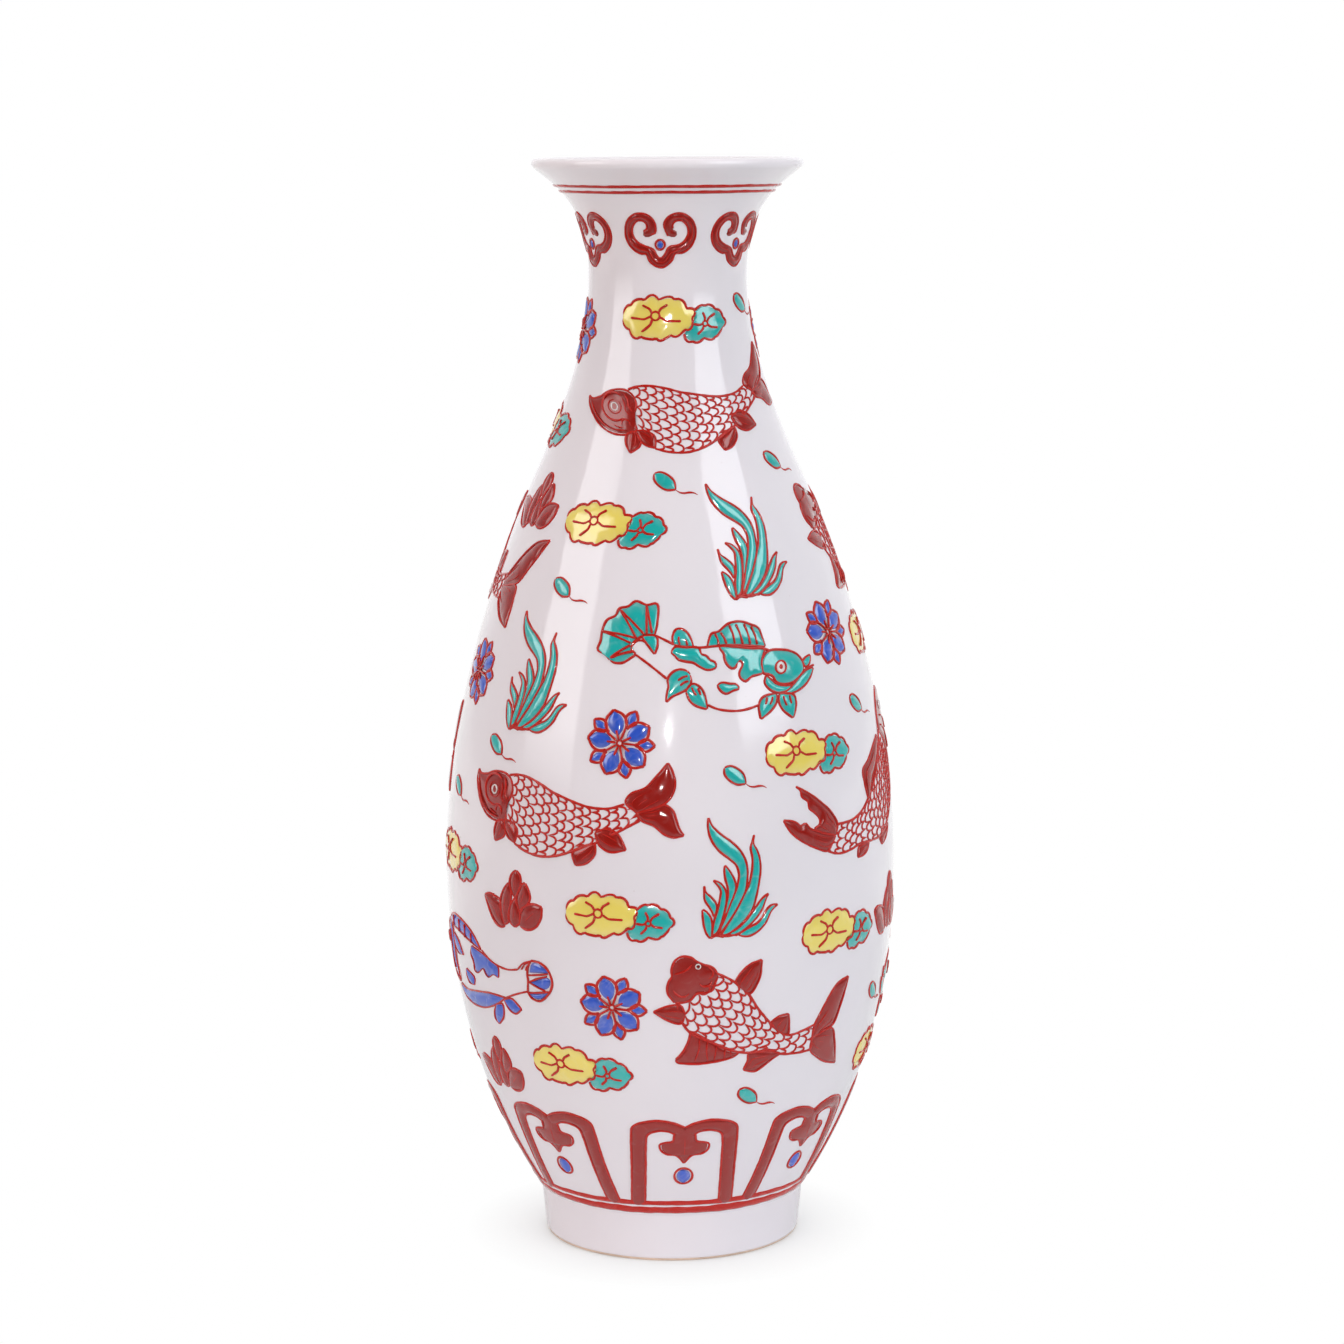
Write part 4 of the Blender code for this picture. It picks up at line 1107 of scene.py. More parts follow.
    leaves = (
        ([(-13, -13.2), (-12.5, -10), (-12, -8.2), (-12.2, -6), (-10.8, -3.9), (-8.4, -2.8), (-6, -3.4),
          (-5.1, -4.6)], [(-13, -13.2), (-11, -11.4), (-8.4, -10.3), (-6, -9), (-4.8, -7), (-5.1, -4.6)],
         ([(-5.8, -5), (-7.4, -5.4), (-9, -6.4)], [(-5.6, -6.6), (-7, -7), (-8.4, -8)])),
        ([(-6.5, -10), (-5.4, -8), (-4, -7.4), (-1.8, -8.8), (-0.6, -11.4), (-0.1, -15.6)],
         [(-6.5, -10), (-5.4, -13), (-3.4, -14.6), (-0.1, -15.6)],
         ([(-4.8, -8.6), (-4.2, -10), (-3.4, -11.2)], [(-2.8, -8.8), (-2.4, -10), (-2, -11.2)])),
        ([(17.6, -19.7), (17.1, -15.4), (18.4, -13), (20.6, -12.2), (23.7, -12.1)],
         [(17.6, -19.7), (21.6, -17.2), (23.6, -14.8), (23.7, -12.1)],
         ([(20, -12.9), (19.8, -14), (19.3, -15.2)], [(22, -12.9), (21.6, -14.2), (20.9, -15.4)])),
        ([(24.6, -12.4), (28, -12.1), (30.6, -13.2), (31.2, -15.6), (30.7, -17.8), (29.6, -20.3)],
         [(24.6, -12.4), (24.5, -15), (26, -17.6), (29.6, -20.3)],
         ([(26, -13), (26.4, -14.6), (27.2, -16.2)], [(28.4, -13), (28.6, -14.4), (29, -15.8)])),
    )
    for edge, other, rays in leaves:
        drawing.patch(teal, edge, other)
        for ray in rays:
            drawing.line(ray, width=0.85, base=above)
    return drawing


def catfish(settings):
    """A blue catfish that faces left: blue back, patches, fins and fan tail on a white body."""
    drawing = Drawing(settings, 32)
    blue = "blue"
    drawing.patch(blue, [(-28.4, 10.4), (-25, 12.4), (-20, 13), (-12, 12), (-5.4, 9.4), (-0.6, 4.9)],
                  [(-28.4, 10.4), (-25, 8.7), (-17, 8), (-8, 6.4), (-0.6, 4.9)])
    above = drawing.top
    for x, low, high in ((-22, 8.7, 12.6), (-16, 8.0, 12.4), (-11, 7.0, 11.6), (-6.4, 6.2, 9.6)):
        drawing.line([(x - 0.4, low), (x + 0.4, (low + high) / 2), (x, high)], width=0.7, base=above)
    for width, edge, other in (
        (0.5, [(-6.9, 5.1), (-0.3, 3.9), (4.8, 2.2), (8.6, 0.6), (8.2, -2.9)],
         [(-6.9, 5.1), (-8.2, 2), (-6.7, -0.4), (-6.5, -3.3), (-4.6, -3.8), (-0.3, -1.5), (0.8, -3.1),
          (2.4, -3.9), (5.4, -2.4), (8.2, -2.9)]),
        (0.5, [(-24.6, 6), (-19, 4.1), (-15.1, 0.2)],
         [(-24.6, 6), (-23.8, 1.7), (-20.8, -0.4), (-15.1, 0.2)]),
        (0.5, [(-13.6, -4), (-7.4, -6.2), (-8.4, -8.7)],
         [(-13.6, -4), (-14.3, -6.2), (-12.7, -8.8), (-8.4, -8.7)]),
        (0.85, [(-23.4, -11.4), (-16, -11.8), (-8.3, -10.8), (2.3, -9.4), (10.5, -9.4)],
         [(-23.4, -11.4), (-19.6, -14.6), (-14.1, -16), (-4.2, -15.7), (4.2, -13), (10.5, -9.4)]),
        (1.0, [(-27, 9.4), (-31.6, 9.6), (-36, 6.4), (-39, 1)],
         [(-27, 9.4), (-25.6, 3), (-25.8, -4), (-24, -10.6), (-31.4, -9.2), (-37, -4.6), (-39, 1)]),
    ):
        drawing.patch(blue, edge, other, width)
    drawing.dot("white", (-32, 3.4), 1.7, above, 0.6)
    drawing.ring("red_line", (-32, 3.4), 1.75, 0.75, above + 0.1)
    drawing.dot("red_line", (-32, 3.4), 0.55, above + 0.35, 0.6)
    drawing.line([(-28, 6.6), (-28.4, 2), (-28.8, -3), (-28, -7)], width=0.7, base=above)
    drawing.line([(-38, -2.4), (-41, -5.6), (-44.4, -6.2)], width=0.7, taper=3)
    drawing.patch(blue, [(9.5, -10.1), (13.5, -9.2), (17.5, -12.1)],
                  [(9.5, -10.1), (11.5, -13.3), (14.2, -14.3), (17.5, -12.1)], width=0.85)
    drawing.patch(blue, [(4.9, -12.7), (8.3, -12), (7.9, -16.1), (4.5, -19.6)],
                  [(4.9, -12.7), (2.9, -15.4), (2.5, -17.9), (4.5, -19.6)], width=0.85)
    drawing.line([(-0.3, 4.9), (4.3, 2.4), (8.4, 1.2), (13.4, 0.7), (18.1, 1.5)], width=0.85)
    drawing.line([(10.5, -9.4), (15.2, -7.5), (20.5, -5.7), (21.6, -5.4)], width=0.85)
    for edge, other in (
        ([(23, 1.2), (24.6, 4.8), (27.6, 4.7), (29.8, 3.4), (30.9, 2)],
         [(23, 1.2), (26.9, 1.5), (30.9, 2)]),
        ([(23.2, -2), (26.3, -0.7), (30.2, 0.6), (31.4, -0.4)],
         [(23.2, -2), (25.9, -3.1), (28.9, -3.9), (30.9, -2.4), (31.4, -0.4)]),
        ([(22, -6), (25.6, -5.5), (29.8, -4.7)],
         [(22, -6), (23.2, -7.1), (25.9, -7.6), (28.4, -6.1), (29.8, -4.7)]),
    ):
        drawing.fill(blue, edge, other)
    rim = [(24.2, 5.4), (27.8, 5.2), (30.4, 3.6), (31.9, 0.4), (31.8, -2), (29.9, -5.2), (25.9, -8),
           (22.8, -7.3), (21.6, -5.4)]
    for line, width in (
        (rim, 0.95),
        ([(24.2, 5.4), (22.8, 2.9), (22.2, 0.4), (22.3, -1.2), (21.9, -3.3), (21.6, -5.4)], 0.9),
        ([(22.7, 0.3), (26.9, 1), (30.7, 1.8)], 0.8),
        ([(22.6, -2), (26.3, -0.4), (30.3, 0.9)], 0.8),
        ([(22.6, -2), (25.9, -3.3), (28.9, -4.2)], 0.8),
        ([(21.5, -5.8), (25.6, -5.2), (30.5, -4.3)], 0.8),
        ([(18.1, 1.5), (20.7, 3.9), (23.8, 5.1)], 0.7),
        ([(19.9, 1.8), (21.5, 3.7), (23.7, 4.7)], 0.55),
        ([(21.7, 1.7), (22.3, 3.1), (23.8, 4.3)], 0.55),
    ):
        drawing.line(line, width=width, base=0.15)
    return drawing


def frilled(points, lobes, depth, closed=True):
    """A line with lobes that swell to the left of the way that it runs.

    The swell at a share of the length is depth x (|sin(pi x lobes x share)|^0.7 - 0.6).
    """
    line = trace(points, closed)
    total = lengths(line)[-1]
    steps = np.arange(lobes * 5 + (not closed)) / (lobes * 5)
    left = left_of(along(line, steps * total + 0.3) - along(line, steps * total - 0.3))
    swell = depth * (np.abs(np.sin(np.pi * lobes * steps)) ** 0.7 - 0.6)
    return along(line, steps * total) + swell[:, None] * left


def lily_pads(settings):
    """A yellow lily pad with a teal one behind it, their wavy red edges, hearts and veins."""
    drawing = Drawing(settings, 41)
    yellow = [(-11.5, 0), (-10, 3.5), (-7.5, 5), (-4, 6), (-1.5, 6.8), (1, 6), (5, 6.3), (8, 5), (10, 3),
              (12, 2), (11.5, -1), (10.5, -4), (8, -5), (6, -6.2), (3, -6.5), (1, -7.5), (-3, -6.7),
              (-7, -6.7), (-9.5, -4.5), (-11, -2.5)]
    yellow = frilled(yellow, 12, 0.75)
    drawing.blob("yellow", yellow, len(yellow) // 2)
    teal = [(12, 2), (15.5, 3.8), (19, 3), (22, 1), (23.7, -2), (22.5, -4), (21, -5.5), (19.5, -7.2),
            (16, -7.2), (13, -8.2), (10.5, -8), (8.6, -5.6)]
    drawing.fill("teal", teal[:5], [teal[0], (12, -1), (11, -4), teal[11], *teal[10:3:-1]])
    drawing.line(frilled(teal, 8, 0.6, closed=False))
    above = drawing.top
    over_teal = [(x, y) for x, y in yellow if x > 8.2 and abs(y + 1.5) < 3.9]
    drawing.line(over_teal, base=above * 0.7)
    for centre, size, tips in (
        ((-0.5, 0.3), 1.4, ((-4.8, 3.8), (3.4, 4), (-8.6, -0.3), (7.7, -1.4), (-5, -4.9))),
        ((15.7, -2.3), 0.85, ((14.8, 1.4), (19.3, 0.9), (11.8, -2.4), (13.2, -5.8), (20.4, -3.7))),
    ):
        drawing.ring("red_line", centre, size, 0.85, above)
        for tip in tips:
            reach = np.array(tip) - centre
            start = np.array(centre) + reach / np.linalg.norm(reach) * size
            side = np.array((-reach[1], reach[0])) * np.sign(reach[0] * reach[1] + 0.1)
            first = start * 0.65 + np.array(tip) * 0.35 + side * 0.1
            second = (start + tip) / 2 + side * 0.08
            drawing.line([start, first, second, tip], width=0.95, base=above)
    return drawing


def flower(settings):
    """A blue flower seen from above: five broad and five small petals round a heart of red stamens."""
    drawing = Drawing(settings, 51)
    petals = (
        (-6, [(5.8, 0.3), (7, 1.4), (8.4, 2.0), (9.9, 1.4), (11, 0.3), (11.5, 0)],
         [(6.3, 0), (7.2, 0.9), (8.4, 1.4), (9.8, 0.9), (10.9, 0)]),
        (30.6, [(4.0, 2.7), (5.2, 3.2), (6.8, 3.45), (8.9, 2.5), (10.4, 0.5), (10.9, 0)],
         [(2.4, 0), (3.2, 1.2), (4.6, 2.3), (6.7, 2.85), (8.7, 2.0), (10.1, 0.2), (10.3, 0)]),
    )
    for first, outline, inside in petals:
        for k in range(5):
            turn = first + 72 * k + hand_turn(drawing, 2.5)
            for edge in spun(outline, turn):
                drawing.line(edge, width=1.1)
            drawing.fill("blue", *spun(inside, turn))
    for k in range(10):
        turn = math.radians(30.6 + 36 * k + hand_turn(drawing, 4))
        ray = np.array((math.cos(turn), math.sin(turn)))
        stamen = np.outer((1.2, 2.8, 5.4 if k % 2 else 4.2), ray)
        drawing.line(stamen, width=0.9, base=drawing.top)
    drawing.ring("red_line", (0, 0), 0.95, 0.85, 0.1)
    return drawing


def waterweed(settings):
    """A tuft of waterweed: eight teal blades from one knotted root, each with a red edge.

    The blades are drawn on a grid of about half a millimetre, from the root up to the tip.
    """
    drawing = Drawing(settings, 61)
    blades = (
        ((29, 2.2), [(32, 4), (38, 7), (43, 9), (47, 13), (50.5, 18), (54, 20.5)],
         [(32, 1), (37, 0.5), (44, 3.5), (49.5, 9), (53, 15.5), (56.5, 19.2)], (59, 20.5)),
        ((18, 2), [(22, 3.5), (29, 7), (36, 13), (40, 18), (43, 21.5), (47, 26)],
         [(23, 1.8), (30, 3.5), (37, 8), (43, 13.5), (47, 19), (50, 26)], (52, 29)),
        ((9.2, 0.8), [(6.5, 4.5), (4.8, 10), (4.2, 16)],
         [(10, 3), (10.5, 7), (10.5, 12), (9.5, 16), (6.5, 20)], (4, 21.5)),
        ((11.8, 15.8), [(11, 19), (8.5, 23.5), (5.8, 28), (5.5, 33)],
         [(12.8, 18), (14, 22), (13.5, 25.5), (10, 30), (6.5, 33.5)], (5.7, 38)),
        ((10.5, 3), [(11.5, 11), (13, 16), (15, 22), (16.5, 29), (17.2, 34), (15, 38)],
         [(14, 5), (17.5, 13), (20, 22), (21, 30), (20, 35), (16.5, 39.5)], (12, 41.5)),
        ((16.5, 8), [(18, 12), (19.5, 18), (21, 25), (22.2, 31), (22, 36), (20.5, 42), (20, 48)],
         [(19.5, 14), (22.5, 22), (26.2, 30), (28, 36), (26.5, 42), (23.5, 47.5)], (20.5, 51.5)),
        ((15, 3),
         [(17, 9), (20, 16), (24, 25), (28, 34), (29.8, 40), (30.3, 45), (28.5, 51), (24, 55.5),
          (16.5, 62), (11.5, 70), (9.8, 78)],
         [(20, 9), (26, 17), (31, 25), (35, 33), (36.2, 40), (36.6, 48), (35, 55), (31, 62), (25, 68),
          (18, 73.5), (12.5, 79.5)], (10.5, 85)),
        ((16.5, 2.5),
         [(20, 8), (25.5, 16), (30.5, 24.5), (35, 32.5), (37.5, 37), (40, 47), (40.5, 55), (39.5, 62),
          (41, 66.5)],
         [(21, 3), (28, 7), (35, 13), (40, 20), (43, 29), (45, 38), (46.3, 47), (45.8, 54), (44, 60),
          (41.5, 65)], (42.5, 71)),
    )
    grid, middle = 0.46, np.array((28, 42.5))
    for root, left, right, tip in blades:
        edges = [(np.array((root, *side, tip)) - middle) * grid for side in (left, right)]
        drawing.patch("teal", *edges, width=0.95)
    for knot in ([(9, 1), (13, 2.6), (19, 1.2)], [(12, 3), (16, 3.4), (29, 2)]):
        drawing.line((np.array(knot) - middle) * grid, width=1.1)
    return drawing


def lotus_bud(settings):
    """An opening lotus bud: six red petals, the outer ones spread to each side."""
    drawing = Drawing(settings, 71)
    petals = (
        ([(-14.8, -1.4), (-12, -0.6), (-9.5, -1.0), (-6.6, -2.2), (-5.6, -6), (-4.6, -10.2)],
         [(-14.8, -1.4), (-13.2, -4.5), (-11.2, -8), (-8.6, -10.4), (-6.4, -10.9), (-4.6, -10.2)]),
        ([(11.4, -2), (8.2, -1.4), (4.6, -2.4), (2.6, -5), (2.2, -9.2)],
         [(11.4, -2), (11.0, -5.4), (8.6, -9), (5, -10.2), (2.2, -9.2)]),
        ([(0.4, -0.4), (-1.6, 2.6), (-2.1, 5), (-0.7, 7.8), (0.9, 8.7)],
         [(0.4, -0.4), (1.9, 2.4), (2.9, 4.8), (2.6, 7.2), (0.9, 8.7)]),
        ([(-4.8, -9.8), (-6.5, -5), (-6.3, -1), (-4.6, 2.2), (-2.5, 4.2)],
         [(-4.8, -9.8), (-2.7, -8.4), (-2.2, -4.6), (-1.5, -0.8), (-1.5, 2), (-2.5, 4.2)]),
        ([(2.2, -4), (0.9, -0.4), (2.3, 2.6), (3.6, 4.6), (4.8, 5.1)],
         [(2.2, -4), (5.6, -1.8), (6.7, 0.2), (6.2, 2.8), (4.8, 5.1)]),
        ([(0, -10), (-2.7, -8), (-2.3, -4), (0.1, -0.4)], [(0, -10), (2.4, -8), (2.0, -4), (0.1, -0.4)]),
    )
    for edge, other in petals:
        drawing.patch("iron_red", edge, other, width=1.05)
        shares = np.linspace(0.25, 0.75, 4)
        sides = [along(side, shares * lengths(side)[-1]) for side in (trace(edge), trace(other))]
        drawing.line((sides[0] + sides[1]) / 2, width=0.45, base=drawing.top, height=0.4, taper=2)
    return drawing


def seed_pod(settings):
    """A teal seed with a red edge and a thin curling stalk."""
    drawing = Drawing(settings, 81)
    side = [(-4.3, 0), (-3.2, 1.6), (-0.6, 2.3), (2.2, 1.9), (4.3, 0)]
    drawing.patch("teal", *spun(side, -38), width=0.9)
    drawing.line([(3.3, -2.6), (4.6, -3.6), (6.2, -3.9), (7.8, -3.7), (9.4, -3.9), (10.6, -4.6)],
                 width=0.85, taper=3)
    return drawing


# Places: degrees round from the front, and millimetres above the floor


PADS = (
    (-7.4, 309.4), (-28.3, 245.1), (34.9, 173.0), (-17.4, 123.4), (43.2, 114.1), (-30.8, 71.3),
    (-74.6, 134.4), (80.8, 205.3), (74.6, 66.5), (-95, 274), (172, 309), (166, 248), (120, 163),
    (140, 115), (-110, 125), (125, 65), (-112.5, 97),
)
FLOWERS = (
    (-13.1, 177.7), (-69.8, 194.4), (55.4, 208.2), (-15.0, 92.7), (-79.6, 304.4), (105, 304),
    (-130, 200), (-153, 172), (155, 95), (-110, 68),
)
WEEDS = ((28.2, 239.9, 5), (-41.4, 197.7, 2.6), (16.0, 135.2, 1), (-142, 240), (126, 195), (105, 128))
BUDS = ((-41.9, 125.8), (-61.9, 251.0), (-56.9, 67), (74.2, 117.5), (-172, 114), (160, 70))
SEEDS = (
    (-1.5, 258), (-36.8, 224.4), (61.6, 313.2), (53.9, 263), (-52.2, 173.2), (16.7, 167.2),
    (62.2, 184.4), (22.1, 61), (-71.0, 156.3), (67.6, 87.7), (-130, 312), (110, 262), (-110, 212),
    (-86, 66),
)
FIELD_LOW = FOOT[1] / MM
FIELD_SPAN = (NECK[1] - FOOT[1]) / MM
CARP = (
    ("red_carp_neck_front", carp, 25.5, 8.4, False, 0.867, 0.94),
    ("red_carp_neck_back", carp, 188, 8.4, False, 0.862, 0.94),
    ("red_carp_shoulder_right", diving_carp, 92, 0, False, 0.720, 1),
    ("red_carp_shoulder_left", diving_carp, -94.2, -4.5, False, 0.718, 1),
    ("red_carp_waist_left", diving_carp, -117, 10, False, 0.500, 1),
    ("red_carp_belly_front", carp, -22.8, 0, False, 0.453, 1),
    ("red_carp_belly_right", leaping_carp, 61, 0, False, 0.438, 1),
    ("red_carp_belly_back", carp, 172, 0, True, 0.420, 1),
    ("red_carp_base_front", diving_carp, 18.9, 0, False, 0.244, 1),
    ("red_carp_base_back", diving_carp, -148, 0, True, 0.250, 1),
)
MANDARIN = (
    ("teal_mandarin_fish_front", mandarin_fish, 10.2, 0, False, 0.612, 1),
    ("teal_mandarin_fish_back", mandarin_fish, 178, 0, True, 0.600, 1),
    ("teal_mandarin_fish_base_right", mandarin_fish, 107, 0, True, 0.255, 1),
)
CATFISH = (("blue_catfish_base_left", catfish, -56, 0, False, 0.275, 1),)
LINE_WIDTHS = {"foot_line_lower": 1.3, "foot_line_upper": 0.9, "rim_line_upper": 0.72,
               "rim_line_lower": 0.72}
LINE_SEED = 91
LINE_POINTS = 720
LINE_WAVES = ((3, 0.4), (7, 2.0), (17, 1.1), (41, 0.3))
LINE_SWAY = (0.06, 0.05, 0.03, 0.02)
LINE_SWELL = (0.05, -0.06, 0.05, 0.06)
RUYI_COUNT = 6
RUYI_ANGLE = -5
RUYI_HEIGHT = NECK[1] + 0.0108
LAPPET_COUNT = 8
LAPPET_ANGLE = 4
LAPPET_ARC = 0.0078
SUFFIX = {"iron_red": "red", "red_line": "lines", "teal": "teal", "yellow": "yellow", "blue": "blue",
          "white": "white"}


def paint(name, drawing, places, settings, nodes=()):
    """Carries a flat drawing to each place on the wall, as one new piece for each pigment.

    A place is an angle in degrees, an arc up the wall in metres, a turn in degrees, 1 or -1 for left to
    right, and a size. Each piece is mapped flat, as the wall unrolls at the piece's middle.
    """
    for pigment, work in drawing.work.items():
        shift = np.cumsum([0] + [len(points) for points, _, _ in work])
        flat = np.concatenate([points for points, _, _ in work])
        quads = np.concatenate([quad + start for (_, quad, _), start in zip(work, shift)])
        triangles = np.concatenate([triangle + start for (_, _, triangle), start in zip(work, shift)])
        wrapped, unrolled, all_quads, all_triangles = [], [], [], []
        for k, (angle, arc, turn, way, size) in enumerate(places):
            c, s = math.cos(math.radians(turn)), math.sin(math.radians(turn))
            x, y = way * size * flat[:, 0], size * flat[:, 1]
            across, rise = (x * c - y * s) * MM, arc + (x * s + y * c) * MM
            points, turns = on_wall(across, rise, flat[:, 2] * MM, math.radians(angle))
            wrapped.append(points)
            unrolled.append(np.stack([turns * BELLY[0], rise], -1))
            all_quads.append(quads[:, ::way] + k * len(flat))
            all_triangles.append(triangles[:, ::way] + k * len(flat))
        unrolled = np.concatenate(unrolled)
        unrolled = (unrolled - unrolled.min(axis=0)) / np.ptp(unrolled, axis=0).max()
        all_quads, all_triangles = np.concatenate(all_quads), np.concatenate(all_triangles)
        corners = np.concatenate([all_quads.ravel(), all_triangles.ravel()])
        piece = put_in_mesh(f"{name}_{SUFFIX[pigment]}", np.concatenate(wrapped), all_quads, all_triangles,
                            enamel_material(settings, pigment), unrolled[corners])
        load = np.clip(np.tile(flat[:, 2], len(places)) / drawing.fill_height, 0, 1)
        depth = piece.data.attributes.new("pool", "FLOAT", "POINT")
        depth.data.foreach_set("value", load.astype(np.float32))
        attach(piece, "root")
        if nodes:
            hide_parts(*nodes)


def paint_fish(table, settings):
    """Paints each fish of a table in the place of its solid.

    A row holds the solid, the drawing, the angle and the turn in degrees, whether the fish faces the other
    way, its height as a share of the way from the foot joint to the neck joint, and its size.
    """
    drawings = {}
    for node, draw, angle, turn, turned_round, share, size in table:
        if draw not in drawings:
            drawings[draw] = draw(settings)
        arc = arc_at((FIELD_LOW + share * FIELD_SPAN) * MM)
        place = (angle, arc, turn, -1 if turned_round else 1, size)
        paint(f"{node}_enamel", drawings[draw], [place], settings, (node,))


def scattered(places):
    """Places of small motifs on the wall, upright unless a third number turns one."""
    return [(angle, arc_at(height * MM), sum(turn), 1, 1) for angle, height, *turn in places]


def in_a_ring(count, first, arc):
    """Even places once round the wall, from the angle of the first."""
    return [(first + 360 / count * k, arc, 0, 1, 1) for k in range(count)]


def numbered(name, count):
    """Names of the solids of a border."""
    return [f"{name}_{k + 1}" for k in range(count)]


def paint_line(node, share, settings):
    """Paints a line once round the wall in the place of its solid, as wide as a share of the solid.

    Its sway up the wall, in millimetres, and its swell, a share of its width, are sums of a few waves.
    """
    low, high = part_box(node)
    arcs = arc_at(low.z), arc_at(high.z)
    drawing = Drawing(settings, LINE_SEED + len(node))
    middle, width = sum(arcs) / 2, (arcs[1] - arcs[0]) * share
    radius = float(np.interp(middle, ARCS, RADII))
    around = np.arange(LINE_POINTS) / LINE_POINTS * 2 * np.pi
    wave = np.stack([np.sin(around * times + phase) for times, phase in LINE_WAVES], -1)
    path = np.stack([around * radius / MM, wave @ np.array(LINE_SWAY)], -1)
    widths = width / MM * (1 + wave @ np.array(LINE_SWELL))
    flow = np.concatenate([path[1:], path[:1] + (2 * np.pi * radius / MM, 0)]) - path
    heights = np.full(LINE_POINTS, drawing.line_height)
    drawing.keep("red_line", ridges(path, left_of(flow), widths, heights, 0.0)[None], closed=True)
    paint(f"{node}_enamel", drawing, [(0, middle, 0, 1, 1)], settings, (node,))


# Studio


FLOOR_COUNT = 96
FLOOR_RINGS = (0.05, 0.2, 0.5, 1.2, 3.0)
FLOOR_DROP = 0.0001
SENSOR_WIDTH = 36
FOCUS = (0, 0, 0.2)
WARM = (1.0, 0.86, 0.80)
COOL = (0.93, 0.965, 1.0)
SOFT_EDGE = (0.2, 0.2)


def lay_floor(settings):
    """A round floor: rings of points about the axis, just under the foot."""
    count = FLOOR_COUNT
    radii = np.array([*FLOOR_RINGS, settings.floor])
    turn = np.arange(count) * 2 * np.pi / count
    points = np.stack([np.outer(radii, np.cos(turn)), np.outer(radii, np.sin(turn)),
                       np.zeros((len(radii), count))], -1)
    points = np.concatenate([points.reshape(-1, 3), [(0, 0, 0)]]) - (0, 0, FLOOR_DROP)
    quads = grid_faces(len(radii), count, False)
    column = np.arange(count)
    fan = np.stack([np.full(count, len(points) - 1), column, (column + 1) % count], -1)
    corners = np.concatenate([quads.ravel(), fan.ravel()])
    floor = put_in_mesh("studio_floor", points, quads, fan, floor_material(), points[corners][:, :2])
    floor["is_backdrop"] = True


def floor_material():
    """White paper, burnt out away from the foot, dark in front and white behind as the glaze mirrors it,
    and glowing near the foot with painted bounce light.
    """
    material = bpy.data.materials.new("studio_floor")
    material.use_nodes = True
    tree = material.node_tree
    tree.nodes.clear()
    place = add_node(tree, "ShaderNodeTexCoord").outputs["Object"]
    grain = noise(tree, place, 6, 3)
    white = blended(tree, grain, (0.58, 0.60, 0.605, 1), (0.62, 0.635, 0.64, 1))
    ahead = add_node(tree, "ShaderNodeSeparateXYZ", {"Vector": place}).outputs["Y"]
    tone = blended(tree, stretched(tree, ahead, -0.2, -0.6), white, (0.05, 0.05, 0.05, 1))
    reach = add_node(tree, "ShaderNodeVectorMath", {0: place}, operation="LENGTH").outputs["Value"]
    ray = add_node(tree, "ShaderNodeLightPath").outputs["Is Camera Ray"]
    # Painted bounce light: the paper glows near the foot, a little more to the camera, and lights the vase
    # from below
    bounce = added(tree, stretched(tree, reach, 0.05, 0.35, 0.26, 0.0), stretched(tree, ray, 0, 1, 1, 1.2),
                   "MULTIPLY")
    shader = {"Base Color": tone, "Roughness": 0.9, "Specular IOR Level": 0.1,
              "Emission Color": (1, 1, 1, 1)}
    paper = add_node(tree, "ShaderNodeBsdfPrincipled", shader | {"Emission Strength": bounce})
    glow = add_node(tree, "ShaderNodeEmission", {"Strength": 1.0})
    burnt = added(tree, stretched(tree, reach, 0.0425, 0.07), 0.42, "POWER")
    mirrored_ray = add_node(tree, "ShaderNodeLightPath").outputs["Is Glossy Ray"]
    behind = added(tree, stretched(tree, ahead, 0.03, 0.35), mirrored_ray, "MULTIPLY")
    share = added(tree, added(tree, burnt, ray, "MULTIPLY"), behind)
    mix = add_node(tree, "ShaderNodeMixShader", {0: share, 1: paper.outputs[0], 2: glow.outputs[0]})
    add_node(tree, "ShaderNodeOutputMaterial", {"Surface": mix.outputs[0]})
    return material


def hang_light(name, place, size, brightness, fade=None, tint=(1, 1, 1)):
    """An area light that faces the vase: soft light alone or, where it has a fade, reflections alone.

    Its power is brightness x area x pi, so the look of its reflection doesn't change with its size. The
    fade is the share of its width and of its height over which it dims, and the tint is its colour.
    """
    data = bpy.data.lights.new(name, "AREA")
    data.shape = "RECTANGLE"
    data.size, data.size_y = size
    data.energy = brightness * size[0] * size[1] * math.pi
    data.use_nodes = True
    tree = data.node_tree
    tree.nodes.clear()
    across = add_node(tree, "ShaderNodeNewGeometry").outputs["Parametric"]
    share = add_node(tree, "ShaderNodeSeparateXYZ", {"Vector": across})
    strength = 1.0
    for axis, soft in zip("XY", fade or SOFT_EDGE):
        middle = added(tree, share.outputs[axis], 0.5, "SUBTRACT")
        edge = add_node(tree, "ShaderNodeMath", {0: middle}, operation="ABSOLUTE").outputs[0]
        strength = added(tree, strength, stretched(tree, edge, 0.5, 0.5 - soft), "MULTIPLY")
    glow = add_node(tree, "ShaderNodeEmission", {"Color": (*tint, 1), "Strength": strength})
    add_node(tree, "ShaderNodeOutputLight", {"Surface": glow.outputs[0]})
    lamp = bpy.data.objects.new(name, data)
    lamp.matrix_world = aimed(place, FOCUS)
    lamp.visible_camera = False
    lamp.visible_diffuse = fade is None
    lamp.visible_glossy = fade is not None
    bpy.context.scene.collection.objects.link(lamp)


def aimed(place, aim):
    """The transform of a light that stands at a place and faces a point."""
    away = (np.array(place) - aim) / np.linalg.norm(np.array(place) - aim)
    side = np.cross((0, 0, 1), away)
    side = side / np.linalg.norm(side)
    up = np.cross(away, side)
    rows = np.stack([side, up, away, place], -1)
    return Matrix([*rows.tolist(), [0, 0, 0, 1]])


